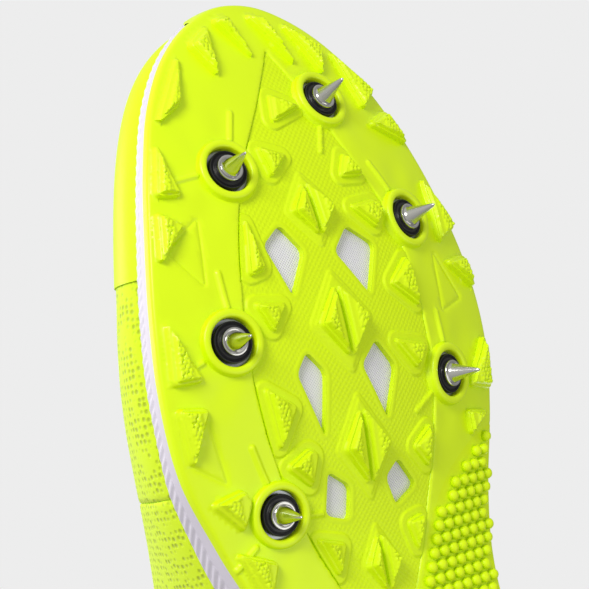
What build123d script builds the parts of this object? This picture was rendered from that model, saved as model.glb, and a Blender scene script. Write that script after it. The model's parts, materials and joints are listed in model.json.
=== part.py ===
"""Left cross-country racing spike, built as the separate pieces it is assembled from.

Millimetres. X runs from the medial side (-) to the lateral side (+), Y from the toe (-) to the heel (+),
and Z up.
Places along the shoe are given as t, the distance back from the toe tip; along(t) turns that into Y.
"""

from build123d import *
import math
import os

os.makedirs("parts", exist_ok=True)

# ----------------------------------------------------------------------------------------------------------
# Driving dimensions
# ----------------------------------------------------------------------------------------------------------
shoe_length = 284.0

# plan outline of the sole: (t, medial x, lateral x)
sole_stations = [
    (0.0, -4.0, 7.0),
    (4.0, -13.0, 16.0),
    (11.0, -22.0, 24.5),
    (22.0, -30.5, 32.0),
    (36.0, -37.0, 38.0),
    (52.0, -42.0, 43.0),
    (68.0, -45.5, 46.5),
    (84.0, -47.0, 47.0),
    (100.0, -45.5, 44.0),
    (116.0, -39.5, 39.0),
    (134.0, -32.0, 34.0),
    (156.0, -27.5, 32.0),
    (182.0, -28.0, 33.5),
    (212.0, -31.0, 35.5),
    (240.0, -31.0, 35.5),
    (262.0, -26.0, 31.0),
    (276.0, -16.0, 21.5),
    (284.0, -4.0, 9.0),
]

# underside of the sole: a rocker along the shoe and a crown across it
ball_place = 80.0
ball_height = 6.0
toe_curve = 0.0057
heel_place = 192.0
tread_lug_height = 2.2
arch_rise = 6.0
bevel_place = 258.0
bevel_curve = 0.016
crown_centre = -3.5
medial_curve = 0.0055
lateral_curve = 0.0074
crown_fade = (112.0, 188.0)

# spike plate, web, backing and tread
plate_thickness = 2.0
backing_thickness = 0.4
web_recess = 0.5
pad_height = 0.6
lug_height = 2.6
lug_corner = 0.7
bumper_line = [(-6.0, 33.5), (4.0, 31.0), (14.0, 26.0), (26.0, 19.5), (40.0, 12.0)]
web_medial_edge = [(4.0, 12.0), (-5.0, 24.5), (-14.0, 37.0), (-21.0, 51.5), (-25.0, 67.0), (-26.5, 84.0)]
web_medial_edge += [(-24.5, 101.0), (-19.0, 117.0), (-12.0, 132.0), (-4.0, 146.0)]
web_lateral_edge = [(-4.0, 146.0), (7.0, 133.0), (14.0, 119.0), (19.5, 104.0), (23.0, 88.0), (23.5, 72.0)]
web_lateral_edge += [(21.0, 52.0), (15.0, 38.0), (8.5, 22.0), (4.0, 12.0)]
plate_rear_edge = [(60.0, 103.0), (38.0, 104.0), (24.0, 111.0), (15.5, 120.0), (7.5, 135.0), (-3.0, 149.0)]
plate_rear_edge += [(-18.0, 161.0), (-60.0, 172.0)]

# windows in the web
window_corner = 1.2
windows = [
    [(-11.0, 52.0), (-6.5, 58.5), (-12.5, 68.0), (-16.5, 56.0)],
    [(7.0, 54.0), (14.0, 59.0), (8.5, 70.0), (1.5, 59.5)],
    [(-12.5, 79.5), (-8.5, 84.5), (-11.5, 98.0), (-16.0, 84.0)],
    [(7.0, 79.5), (11.5, 86.0), (6.5, 97.0), (1.5, 84.5)],
    [(-12.0, 105.0), (-6.5, 109.0), (-8.0, 116.0), (-14.0, 114.0)],
    [(8.0, 105.5), (12.5, 112.0), (5.5, 115.5), (3.5, 109.0)],
]

# centre diamonds of the web: (centre t, half length, half width), and the lug pair on each
diamond_x = -1.5
lug_pair_gap = 1.3
lug_pair_length = 0.63
lug_pair_width = 0.66
diamonds = [(49.5, 9.0, 7.4), (74.5, 11.8, 9.0), (101.5, 12.0, 8.0), (126.5, 9.0, 5.6)]

# edge lugs, each an outline of its corners
web_lugs = [
    [(-1.5, 22.5), (5.5, 26.0), (-3.5, 29.0)],
    [(-10.5, 34.5), (-3.5, 37.0), (-9.5, 41.5)],
    [(-19.5, 50.0), (-18.0, 61.0), (-22.5, 62.0)],
    [(-23.0, 68.0), (-15.5, 69.0), (-20.0, 74.5)],
    [(-25.0, 85.5), (-18.0, 90.5), (-23.5, 98.5)],
    [(-22.5, 102.5), (-16.5, 99.5), (-14.5, 101.0), (-17.0, 107.5)],
    [(-17.5, 118.5), (-10.5, 120.5), (-13.5, 127.0)],
    [(13.0, 37.5), (16.5, 43.0), (9.5, 43.0)],
    [(9.5, 50.0), (17.5, 49.0), (18.5, 51.5), (15.5, 55.5)],
    [(15.0, 68.0), (22.0, 62.5), (22.5, 74.0)],
    [(12.0, 80.5), (21.5, 82.5), (17.5, 87.5)],
    [(12.5, 104.0), (18.5, 100.0), (16.5, 109.0)],
    [(7.5, 119.5), (12.5, 118.5), (9.5, 126.0)],
]
plate_lugs = [
    [(-16.0, 9.0), (-9.5, 5.0), (-12.5, 17.0)],
    [(-7.0, 3.5), (-3.0, 2.5), (-1.0, 13.0)],
    [(3.0, 2.5), (7.0, 3.0), (10.0, 15.0)],
    [(12.5, 5.0), (20.0, 11.0), (17.5, 18.0)],
    [(-20.5, 12.0), (-24.5, 22.5), (-31.5, 26.5)],
    [(-34.0, 31.5), (-32.5, 43.0), (-38.0, 42.5)],
    [(-39.0, 46.0), (-34.0, 49.5), (-41.5, 56.5)],
    [(-43.5, 69.0), (-38.5, 81.5), (-45.0, 81.5)],
    [(-45.0, 86.5), (-38.5, 87.5), (-43.5, 98.0)],
    [(-40.5, 106.5), (-33.5, 105.0), (-32.0, 107.5), (-34.5, 113.0)],
    [(-36.5, 117.5), (-28.0, 121.0), (-31.5, 129.0)],
    [(-29.0, 137.0), (-21.0, 139.0), (-25.5, 148.0)],
    [(23.5, 12.5), (31.5, 23.0), (26.0, 27.0)],
    [(26.0, 31.0), (33.0, 28.0), (36.5, 36.0)],
    [(37.5, 45.0), (43.5, 57.0), (36.5, 60.0)],
    [(37.0, 65.0), (44.0, 64.0), (45.5, 71.5)],
    [(44.5, 83.0), (43.5, 95.0), (35.5, 93.5)],
    [(33.0, 99.0), (40.5, 100.0), (33.5, 104.5)],
]

# removable spikes: receptacle centres (x, t), then the screw, washer and insert sizes
spike_places = [(13.0, 24.5), (-19.5, 39.0), (26.5, 54.0), (-30.0, 75.0), (28.0, 90.0), (-25.5, 111.5)]
boss_radius = 7.0
boss_height = 1.3
receptacle_radius = 5.15
receptacle_depth = 0.8
barrel_radius = 3.6
barrel_wall = 0.5
thread_radius = 2.5
thread_pitch = 1.06
thread_turns = 4
running_clearance = 0.05
washer_radius = 4.4
washer_thickness = 0.8
wrench_flange_radius = 3.5
wrench_flange_thickness = 1.0
spike_base_radius = 2.15
spike_length = 7.0
spike_tip_radius = 0.4

# rear tread
tread_lug_radius = 2.9
tread_lug_pitch = 7.6
tread_lug_margin = 4.6
tread_lug_zone = (200.0, 258.0)

# midsole: the sole edge is this far inside the plate, and its side wall rises to this line
midsole_inset = 1.2
side_wall_line = [(-10.0, 31.0), (0.0, 29.6), (16.0, 25.4), (33.0, 21.8), (49.0, 19.9), (65.0, 19.2)]
side_wall_line += [(80.0, 19.4), (93.0, 20.2), (106.0, 23.0), (120.0, 25.5), (150.0, 28.0), (200.0, 31.0)]
side_wall_line += [(250.0, 33.5), (294.0, 36.0)]
lateral_wall_lift = 0.035

# the last: top of the midsole, then sections
# (t, medial x, lateral x, height, height of the widest point, squareness)
footbed_ball_height = 16.5
footbed_toe_curve = 0.0036
footbed_heel_height = 22.5
footbed_heel_place = 205.0
last_sections = [
    (2.5, -6.0, 9.0, 13.0, 5.0, 2.0),
    (6.0, -13.5, 17.0, 18.0, 6.0, 2.0),
    (12.0, -20.5, 23.5, 22.5, 6.5, 2.0),
    (24.0, -29.0, 31.5, 26.0, 7.0, 2.0),
    (42.0, -36.3, 38.5, 29.0, 7.0, 2.1),
    (62.0, -41.2, 43.5, 33.0, 7.5, 2.1),
    (82.0, -43.2, 44.5, 39.5, 8.5, 2.1),
    (102.0, -41.0, 41.5, 48.0, 9.5, 2.0),
    (122.0, -35.7, 36.5, 58.0, 12.0, 2.0),
    (145.0, -30.0, 32.5, 69.0, 16.0, 2.1),
    (168.0, -26.0, 30.5, 81.0, 20.0, 2.4),
    (192.0, -26.0, 30.5, 91.0, 22.0, 3.0),
    (222.0, -27.5, 32.0, 96.0, 24.0, 3.4),
    (248.0, -26.0, 30.5, 96.0, 24.0, 3.0),
    (264.0, -20.5, 25.5, 95.0, 24.0, 2.6),
    (275.0, -12.5, 17.5, 94.0, 24.0, 2.3),
    (281.0, -5.0, 10.0, 93.0, 24.0, 2.2),
]
flat_share = 0.6
heel_back_curve = [(276.0, 12.0), (281.0, 34.0), (282.0, 50.0), (278.0, 72.0), (277.5, 96.0), (276.0, 125.0)]

# upper
wall_thickness = 2.0
strobel_inset = 10.0
strobel_overlap = 1.0
sockliner_thickness = 4.0
throat_x = 0.5
throat_outline = [(5.5, 93.0), (8.5, 105.0), (10.5, 125.0), (13.0, 150.0), (15.5, 172.0)]
throat_toe = 89.0
topline = [(150.0, 119.0), (163.0, 97.0), (180.0, 82.0), (202.0, 71.0), (224.0, 69.0), (248.0, 76.0)]
topline += [(268.0, 89.0), (296.0, 97.0)]
vamp_end = 104.0
heel_panel_start = 218.0
overlay_thickness = 0.6
toe_overlay_end = 58.0
eyestay_width = 13.0
eyestay_end = 166.0
eyestay_line = [(70.0, 48.0), (98.0, 56.0), (115.0, 61.0), (130.0, 66.0), (150.0, 73.0), (180.0, 86.0)]
heel_overlay_start = 246.0
heel_overlay_top = 66.0
counter_thickness = 1.2
counter_start = 226.0
counter_top = 58.0
collar_start = 183.0
collar_depth = 20.0
collar_padding = 5.0
tongue_gap = 2.6
tongue_thickness = 4.0
tongue_half_width = 21.0
tongue_toe = 82.0
tongue_top = 181.0
tongue_floor = 42.0
loop_width = 12.0
loop_height = 8.0
loop_thickness = 1.0
loop_place = 148.0
pull_tab_width = 12.0
pull_tab_thickness = 1.2
pull_tab_bottom = 78.0

# lace
eyelet_margin = 5.5
eyelet_places = [98.0, 109.5, 121.0, 132.5, 144.0, 155.5]
lace_radius = 1.25
lace_clearance = 0.2
lace_step_back = 2.0
lace_tuck = [(-1.0, 3.5), (1.0, 7.0), (5.0, 10.0)]
aglet_radius = 1.35
aglet_length = 14.0

# solids that only cut others reach well past the shoe
far = 80.0
tall = 140.0


# ----------------------------------------------------------------------------------------------------------
# Shared shape functions
# ----------------------------------------------------------------------------------------------------------
def along(t):
    """Y of the place t behind the toe tip."""
    return t - shoe_length / 2


def ease(share):
    """Smooth step from 0 to 1."""
    share = min(max(share, 0.0), 1.0)
    return share * share * (3 - 2 * share)


def between(table, t, column=1):
    """Smooth value of a table's column at t, from its first column's stations."""
    t = min(max(t, table[0][0]), table[-1][0])
    index = max(i for i in range(len(table) - 1) if table[i][0] <= t)
    low, high = table[index], table[index + 1]
    before, after = table[max(index - 1, 0)], table[min(index + 2, len(table) - 1)]
    span = high[0] - low[0]
    slope_low = (high[column] - before[column]) / (high[0] - before[0]) * span
    slope_high = (after[column] - low[column]) / (after[0] - low[0]) * span
    s = (t - low[0]) / span
    return (
        (2 * s**3 - 3 * s**2 + 1) * low[column]
        + (s**3 - 2 * s**2 + s) * slope_low
        + (3 * s**2 - 2 * s**3) * high[column]
        + (s**3 - s**2) * slope_high
    )


def rocker(t):
    """Height of the sole's underside along its centre line."""
    height = ball_height
    if t < ball_place:
        height += 0.5 * toe_curve * (ball_place - t) ** 2
    else:
        share = min((t - ball_place) / (heel_place - ball_place), 1.0)
        height += (tread_lug_height - ball_height) * ease(share)
        height += arch_rise * math.sin(math.pi * share) ** 2
    if t > bevel_place:
        height += 0.5 * bevel_curve * (t - bevel_place) ** 2
    return height


def underside(x, t):
    """Height of the sole's underside."""
    offset_x = x - crown_centre
    curve = medial_curve if offset_x < 0 else lateral_curve
    fade = 1 - ease((t - crown_fade[0]) / (crown_fade[1] - crown_fade[0]))
    return rocker(t) + 0.5 * curve * offset_x**2 * fade


def side_wall(x, t):
    """Height of the top of the midsole's side wall."""
    return between(side_wall_line, t) + lateral_wall_lift * x


def footbed(t):
    """Height of the top of the midsole under the strobel board."""
    if t < ball_place:
        return footbed_ball_height + 0.5 * footbed_toe_curve * (ball_place - t) ** 2
    share = (t - ball_place) / (footbed_heel_place - ball_place)
    return footbed_ball_height + (footbed_heel_height - footbed_ball_height) * ease(share)


def sheet(height, drop=0.0):
    """Face that follows a height function of x and t, lifted by drop."""
    places_x = [-60.0 + 6.0 * i for i in range(21)]
    places_t = [-12.0 + 7.0 * i for i in range(45)]
    grid = [[(x, along(t), height(x, t) + drop) for x in places_x] for t in places_t]
    return Face.make_surface_from_array_of_points(grid)


def sole_layer(low, high):
    """Slab that follows the sole's underside, between two heights above it."""
    with BuildPart() as layer:
        extrude(sheet(underside, low), amount=high - low, dir=(0, 0, 1))
    return layer.part


def outline_points(inset=0.0):
    """Corners of the sole outline, clockwise from the toe, drawn in by inset."""
    lateral = [(x, along(t)) for t, _, x in sole_stations]
    medial = [(x, along(t)) for t, x, _ in reversed(sole_stations)]
    corners = lateral + medial
    drawn_in = []
    for i, (x, y) in enumerate(corners):
        before, after = corners[i - 1], corners[(i + 1) % len(corners)]
        run_x, run_y = after[0] - before[0], after[1] - before[1]
        length = math.hypot(run_x, run_y)
        drawn_in.append((x - inset * run_y / length, y + inset * run_x / length))
    return drawn_in


def sole_column(inset=0.0):
    """Column above the sole outline, drawn in by inset."""
    with BuildPart() as column:
        with BuildSketch(Plane.XY.offset(-1.0)):
            with BuildLine():
                Spline(*outline_points(inset), periodic=True)
            make_face()
        extrude(amount=tall)
    return column.part


def plan_column(points, corner=0.0):
    """Column above an outline of (x, t) points."""
    places = [(x, along(t)) for x, t in points]
    with BuildPart() as column:
        with BuildSketch(Plane.XY.offset(-1.0)) as outline:
            with BuildLine():
                Polyline(*places, close=True)
            make_face()
            if corner:
                fillet(outline.vertices(), radius=corner)
        extrude(amount=tall)
    return column.part


def side_block(points):
    """Block across the shoe, from a side view outline of (t, z) points closed by straight lines."""
    with BuildPart() as block:
        with BuildSketch(Plane.YZ):
            with BuildLine():
                Polyline(*[(along(t), z) for t, z in points], close=True)
            make_face()
        extrude(amount=far, both=True)
    return block.part


def below_curve(points):
    """Block across the shoe under a smooth side view line of (t, z) points."""
    with BuildPart() as block:
        with BuildSketch(Plane.YZ):
            with BuildLine():
                line = Spline(*[(along(t), z) for t, z in points])
                low_end = (along(points[-1][0]), -20.0)
                low_start = (along(points[0][0]), -20.0)
                Polyline(line @ 1, low_end, low_start, line @ 0)
            make_face()
        extrude(amount=far, both=True)
    return block.part


def section_points(t, inset):
    """Outline of the last's section at t, from the medial end of its flat bottom over the top."""
    medial, lateral, height, wide_height, power = (between(last_sections, t, c) for c in range(1, 6))
    bottom = footbed(t) + inset
    centre = (medial + lateral) / 2
    half = (lateral - medial) / 2 - inset
    rise = wide_height - inset
    top = height - inset
    lower = [math.radians(a) for a in (30, 60, 90)]
    upper = [math.radians(a) for a in (22, 44, 67)]
    right = [(half * (flat_share + (1 - flat_share) * math.sin(a)), rise * (1 - math.cos(a))) for a in lower]
    for a in upper:
        share_x = math.cos(a) ** (2 / power)
        share_z = math.sin(a) ** (2 / power)
        right.append((half * share_x, rise + (top - inset - rise) * share_z))
    right.insert(0, (half * flat_share, 0.0))
    left = [(-x, z) for x, z in right]
    points = left + [(0.0, top - inset)] + right[::-1]
    return [(centre + x, bottom + z) for x, z in points]


def foot_volume(inset=0.0):
    """Solid inside the upper, drawn in by inset from the upper's outer face."""
    first = last_sections[0][0] + max(inset, 0.0)
    last = last_sections[-1][0] - max(inset, 0.0)
    stations = [first] + [row[0] for row in last_sections if first + 1.5 < row[0] < last - 1.5] + [last]
    with BuildPart() as volume:
        for t in stations:
            points = section_points(t, inset)
            with BuildSketch(Plane.XZ.offset(-along(t))):
                with BuildLine():
                    Spline(*points)
                    Line(points[-1], points[0])
                make_face()
        loft()
        add(heel_block(inset), mode=Mode.INTERSECT)
    return volume.part


def heel_block(inset=0.0):
    """Block across the shoe ahead of the curve of the heel's back."""
    curve = [(along(t) - inset, z) for t, z in heel_back_curve]
    with BuildPart() as block:
        with BuildSketch(Plane.YZ):
            with BuildLine():
                back = Spline(*curve)
                Polyline(back @ 1, (along(-20.0), curve[-1][1]), (along(-20.0), curve[0][1]), back @ 0)
            make_face()
        extrude(amount=far, both=True)
    return block.part


def spike_axis(place):
    """Origin on the underside at a spike place, and its outward direction."""
    x, t = place
    step = 0.5
    slope_x = (underside(x + step, t) - underside(x - step, t)) / (2 * step)
    slope_t = (underside(x, t + step) - underside(x, t - step)) / (2 * step)
    outward = Vector(slope_x, slope_t, -1.0).normalized()
    return Vector(x, along(t), underside(x, t)), outward


def spike_plane(place, offset_out=0.0):
    """Plane square to a spike, its Z pointing out of the sole."""
    origin, outward = spike_axis(place)
    return Plane(origin=origin + outward * offset_out, x_dir=Vector(0, 1, 0).cross(outward), z_dir=outward)


def profile_plane(place):
    """Plane through a spike's axis, its X the radius and its Y pointing out of the sole."""
    origin, outward = spike_axis(place)
    radial = Vector(0, 1, 0).cross(outward).normalized()
    return Plane(origin=origin, x_dir=radial, z_dir=radial.cross(outward))


def spike_rod(place, radius, low, high):
    """Round rod on a spike's axis between two places along it."""
    with BuildPart() as rod:
        with BuildSketch(spike_plane(place, low)):
            Circle(radius)
        extrude(amount=high - low)
    return rod.part


def lug_pair(centre_t, half_length, half_width):
    """The two triangular lugs on a diamond."""
    length = half_length * lug_pair_length
    reach = half_width * lug_pair_width
    pair = []
    for side in (-1, 1):
        inner = diamond_x + side * lug_pair_gap
        outer = inner + side * reach
        pair.append([(inner, centre_t - length), (outer, centre_t), (inner, centre_t + length)])
    return pair


# ----------------------------------------------------------------------------------------------------------
# Shared solids
# ----------------------------------------------------------------------------------------------------------
thread_length = thread_pitch * thread_turns
barrel_end = -(receptacle_depth + thread_length + barrel_wall)
plate_front = plan_column([(-60.0, -30.0), (60.0, -30.0)] + plate_rear_edge)
web_column = plan_column(web_medial_edge + web_lateral_edge[1:-1])
whole_column = sole_column()
midsole_column = sole_column(midsole_inset)
backing_column = sole_column(midsole_inset + 1.5)
outer_volume = foot_volume()
inner_volume = foot_volume(wall_thickness)
sole_skin = sole_layer(0.0, plate_thickness)


# ----------------------------------------------------------------------------------------------------------
# Outsole
# ----------------------------------------------------------------------------------------------------------
def lug_group(outlines, depth, root):
    """Lugs that stand depth proud of the underside and are rooted in the layer above it."""
    layer = sole_layer(-depth, root)
    with BuildPart() as lugs:
        for corners in outlines:
            add(plan_column(corners, corner=lug_corner))
        add(layer, mode=Mode.INTERSECT)
        add(whole_column, mode=Mode.INTERSECT)
    return lugs.part


above_skin = sole_layer(plate_thickness, far)
with BuildPart() as inside_bumper:
    add(above_skin)
    add(midsole_column, mode=Mode.INTERSECT)
with BuildPart() as over_bumper:
    add(above_skin)
    add(below_curve(bumper_line), mode=Mode.SUBTRACT)

edge_lugs = lug_group(plate_lugs, lug_height, plate_thickness / 2)
boss_root = 0.6 * plate_thickness
with BuildPart() as spike_plate:
    add(sole_layer(0.0, far / 2))
    add(whole_column, mode=Mode.INTERSECT)
    add(plate_front, mode=Mode.INTERSECT)
    add(inside_bumper.part, mode=Mode.SUBTRACT)
    add(over_bumper.part, mode=Mode.SUBTRACT)
    add(web_column, mode=Mode.SUBTRACT)
    add(edge_lugs)
    for place in spike_places:
        add(spike_rod(place, boss_radius, -boss_root, boss_height))
        add(spike_rod(place, receptacle_radius, -2 * plate_thickness, 2 * boss_height), mode=Mode.SUBTRACT)
spike_plate.part.label = "spike_plate"
export_step(spike_plate.part, "parts/spike_plate.step")

web_layer = sole_layer(web_recess, plate_thickness)
pad_layer = sole_layer(-pad_height, plate_thickness)
web_lug_group = lug_group(web_lugs, lug_height, plate_thickness / 2)
lug_pairs = [corners for diamond in diamonds for corners in lug_pair(*diamond)]
pair_group = lug_group(lug_pairs, pad_height + lug_height, plate_thickness / 2)
with BuildPart() as pads:
    for centre_t, half_length, half_width in diamonds:
        left, right = (diamond_x - half_width, centre_t), (diamond_x + half_width, centre_t)
        front, rear = (diamond_x, centre_t - half_length), (diamond_x, centre_t + half_length)
        add(plan_column([front, right, rear, left], corner=lug_corner))
    add(pad_layer, mode=Mode.INTERSECT)
with BuildPart() as grip_web:
    add(web_layer)
    add(web_column, mode=Mode.INTERSECT)
    for corners in windows:
        add(plan_column(corners, corner=window_corner), mode=Mode.SUBTRACT)
    add(pads.part)
    add(web_lug_group)
    add(pair_group)
    add(web_column, mode=Mode.INTERSECT)
    for place in spike_places:
        add(spike_rod(place, boss_radius, -2 * plate_thickness, 3 * boss_height), mode=Mode.SUBTRACT)
grip_web.part.label = "grip_web"
export_step(grip_web.part, "parts/grip_web.step")

backing_layer = sole_layer(plate_thickness, plate_thickness + backing_thickness)
with BuildPart() as plate_backing:
    add(backing_layer)
    add(backing_column, mode=Mode.INTERSECT)
    add(plate_front, mode=Mode.INTERSECT)
    for place in spike_places:
        add(spike_rod(place, receptacle_radius, -4 * plate_thickness, 0.0), mode=Mode.SUBTRACT)
plate_backing.part.label = "plate_backing"
export_step(plate_backing.part, "parts/plate_backing.step")


def tread_places():
    """Centres of the rear tread's round lugs, in a staggered grid clear of the edge."""
    row_step = tread_lug_pitch * math.sqrt(3) / 2
    rows = int((tread_lug_zone[1] - tread_lug_zone[0]) / row_step) + 1
    places = []
    for row in range(rows):
        t = tread_lug_zone[0] + row * row_step
        low = between(sole_stations, t, 1) + tread_lug_margin
        high = between(sole_stations, t, 2) - tread_lug_margin
        shift = tread_lug_pitch / 2 if row % 2 else 0.0
        count = int((high - low - shift) / tread_lug_pitch) + 1
        places += [(low + shift + i * tread_lug_pitch, along(t)) for i in range(count)]
    return places


with BuildPart() as rear_tread:
    add(sole_skin)
    add(whole_column, mode=Mode.INTERSECT)
    add(plate_front, mode=Mode.SUBTRACT)
    with BuildSketch(Plane.XY):
        with Locations(*tread_places()):
            Circle(tread_lug_radius)
    extrude(amount=tread_lug_height + plate_thickness / 2)
rear_tread.part.label = "rear_tread"
export_step(rear_tread.part, "parts/rear_tread.step")


# ----------------------------------------------------------------------------------------------------------
# Spikes: the metal insert in the sole, the washer that travels with the screw, and the screw
# ----------------------------------------------------------------------------------------------------------
for number, place in enumerate(spike_places, start=1):
    origin, outward = spike_axis(place)
    axis = Axis(origin, outward)
    bore_radius = thread_radius + running_clearance
    with BuildPart() as receptacle:
        with BuildSketch(profile_plane(place)):
            with BuildLine():
                Polyline(
                    (bore_radius, -receptacle_depth),
                    (receptacle_radius, -receptacle_depth),
                    (receptacle_radius, -plate_thickness),
                    (barrel_radius, -plate_thickness),
                    (barrel_radius, barrel_end),
                    (0.0, barrel_end),
                    (0.0, barrel_end + barrel_wall),
                    (bore_radius, barrel_end + barrel_wall),
                    close=True,
                )
            make_face()
        revolve(axis=axis)
    receptacle.part.label = f"receptacle_{number}"
    export_step(receptacle.part, f"parts/receptacle_{number}.step")

    with BuildPart() as washer:
        with BuildSketch(spike_plane(place, -receptacle_depth)):
            Circle(washer_radius)
            Circle(bore_radius, mode=Mode.SUBTRACT)
        extrude(amount=washer_thickness)
    washer.part.label = f"washer_{number}"
    export_step(washer.part, f"parts/washer_{number}.step")

    seat = washer_thickness - receptacle_depth
    shoulder = seat + wrench_flange_thickness
    tip = shoulder + spike_length
    with BuildPart() as spike:
        with BuildSketch(profile_plane(place)):
            with BuildLine():
                Polyline(
                    (0.0, seat - washer_thickness - thread_length),
                    (thread_radius, seat - washer_thickness - thread_length),
                    (thread_radius, seat),
                    (wrench_flange_radius, seat),
                    (wrench_flange_radius, shoulder),
                    (spike_base_radius, shoulder),
                    (spike_tip_radius, tip),
                    (0.0, tip),
                    close=True,
                )
            make_face()
        revolve(axis=axis)
    spike.part.label = f"spike_{number}"
    export_step(spike.part, f"parts/spike_{number}.step")


# ----------------------------------------------------------------------------------------------------------
# Midsole, strobel board, sockliner
# ----------------------------------------------------------------------------------------------------------
side_wall_top = sheet(side_wall)
with BuildPart() as midsole:
    extrude(sheet(underside, plate_thickness), amount=tall / 2, dir=(0, 0, 1))
    extrude(side_wall_top, amount=tall, dir=(0, 0, 1), mode=Mode.SUBTRACT)
    add(midsole_column, mode=Mode.INTERSECT)
    add(outer_volume, mode=Mode.SUBTRACT)
    add(plate_backing.part, mode=Mode.SUBTRACT)
    for place in spike_places:
        add(spike_rod(place, barrel_radius, barrel_end, 0.0), mode=Mode.SUBTRACT)
        add(spike_rod(place, receptacle_radius, -plate_thickness, 2 * boss_height), mode=Mode.SUBTRACT)
midsole.part.label = "midsole"
export_step(midsole.part, "parts/midsole.step")

strobel_column = sole_column(strobel_inset)
footbed_places = range(-20, 311, 10)
strobel_line = [(t, footbed(t) + wall_thickness + strobel_overlap) for t in footbed_places]
strobel_block = below_curve(strobel_line)
with BuildPart() as strobel_board:
    add(outer_volume)
    add(inner_volume, mode=Mode.SUBTRACT)
    add(strobel_column, mode=Mode.INTERSECT)
    add(strobel_block, mode=Mode.INTERSECT)
strobel_board.part.label = "strobel_board"
export_step(strobel_board.part, "parts/strobel_board.step")

sockliner_line = [(t, footbed(t) + wall_thickness + sockliner_thickness) for t in footbed_places]
sockliner_block = below_curve(sockliner_line)
with BuildPart() as sockliner:
    add(inner_volume)
    add(sockliner_block, mode=Mode.INTERSECT)
sockliner.part.label = "sockliner"
export_step(sockliner.part, "parts/sockliner.step")


# ----------------------------------------------------------------------------------------------------------
# Upper
# ----------------------------------------------------------------------------------------------------------
def topline_block():
    """Block above the collar's topline."""
    with BuildPart() as block:
        with BuildSketch(Plane.YZ):
            with BuildLine():
                line = Spline(*[(along(t), z) for t, z in topline])
                high_end = (along(topline[-1][0]), tall + 20.0)
                high_start = (along(topline[0][0]), tall + 20.0)
                Polyline(line @ 1, high_end, high_start, line @ 0)
            make_face()
        extrude(amount=far, both=True)
    return block.part


def throat_column(margin=0.0, end=None):
    """Column of the lacing opening, widened by margin."""
    right = [(throat_x + half + margin, t) for half, t in throat_outline]
    left = [(throat_x - half - margin, t) for half, t in reversed(throat_outline)]
    return plan_column(right + left + [(throat_x, throat_toe - margin)])


def span_block(start, end, low=-20.0, high=160.0):
    """Block across the shoe between two places along it and two heights."""
    return side_block([(start, low), (end, low), (end, high), (start, high)])


def shell_between(outer, inner, start, end):
    """Wall between two foot volumes, from one place along the shoe to another."""
    with BuildPart() as shell:
        add(outer)
        add(inner, mode=Mode.SUBTRACT)
        add(span_block(start, end), mode=Mode.INTERSECT)
    return shell.part


above_topline = topline_block()
throat = throat_column()
with BuildPart() as upper_wall:
    add(outer_volume)
    add(inner_volume, mode=Mode.SUBTRACT)
    add(strobel_board.part, mode=Mode.SUBTRACT)
    add(throat, mode=Mode.SUBTRACT)
    add(above_topline, mode=Mode.SUBTRACT)

medial_half = Box(far, 2 * shoe_length, 3 * tall, align=(Align.MAX, Align.CENTER, Align.CENTER))
lateral_half = Box(far, 2 * shoe_length, 3 * tall, align=(Align.MIN, Align.CENTER, Align.CENTER))
upper_pieces = [
    ("vamp", span_block(-20.0, vamp_end), None),
    ("medial_quarter", span_block(vamp_end, heel_panel_start), medial_half),
    ("lateral_quarter", span_block(vamp_end, heel_panel_start), lateral_half),
    ("heel_panel", span_block(heel_panel_start, shoe_length + 20.0), None),
]
for piece_name, block, half in upper_pieces:
    with BuildPart() as upper_piece:
        add(upper_wall.part)
        add(block, mode=Mode.INTERSECT)
        if half:
            add(half, mode=Mode.INTERSECT)
    upper_piece.part.label = piece_name
    export_step(upper_piece.part, f"parts/{piece_name}.step")

# thin overlays bonded to the outside of the upper, above the midsole's side wall
overlay_volume = foot_volume(-overlay_thickness)
above_side_wall = Solid.extrude(side_wall_top.moved(Location((0, 0, 0.5))), Vector(0, 0, tall))
with BuildPart() as overlay_skin:
    add(overlay_volume)
    add(outer_volume, mode=Mode.SUBTRACT)
    add(above_side_wall, mode=Mode.INTERSECT)
    add(above_topline, mode=Mode.SUBTRACT)
    add(spike_plate.part, mode=Mode.SUBTRACT)

with BuildPart() as toe_overlay:
    add(overlay_skin.part)
    add(span_block(-20.0, toe_overlay_end), mode=Mode.INTERSECT)
toe_overlay.part.label = "toe_overlay"
export_step(toe_overlay.part, "parts/toe_overlay.step")

with BuildPart() as heel_overlay:
    add(overlay_skin.part)
    add(span_block(heel_overlay_start, shoe_length + 20.0, high=heel_overlay_top), mode=Mode.INTERSECT)
heel_overlay.part.label = "heel_overlay"
export_step(heel_overlay.part, "parts/heel_overlay.step")


def eyelets():
    """Places (x, t) of the eyelets, which aren't cut, medial then lateral in each row."""
    rows = []
    for t in eyelet_places:
        half = between([(t, half) for half, t in throat_outline], t) + eyelet_margin
        rows.append([(throat_x - half, t), (throat_x + half, t)])
    return rows


eyestay_column = throat_column(eyestay_width)
for side, half in (("medial", medial_half), ("lateral", lateral_half)):
    with BuildPart() as eyestay:
        add(overlay_skin.part)
        add(eyestay_column, mode=Mode.INTERSECT)
        add(throat, mode=Mode.SUBTRACT)
        add(span_block(throat_toe - eyestay_width, eyestay_end), mode=Mode.INTERSECT)
        add(below_curve(eyestay_line), mode=Mode.SUBTRACT)
        add(half, mode=Mode.INTERSECT)
    eyestay.part.label = f"{side}_eyestay"
    export_step(eyestay.part, f"parts/{side}_eyestay.step")

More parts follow.
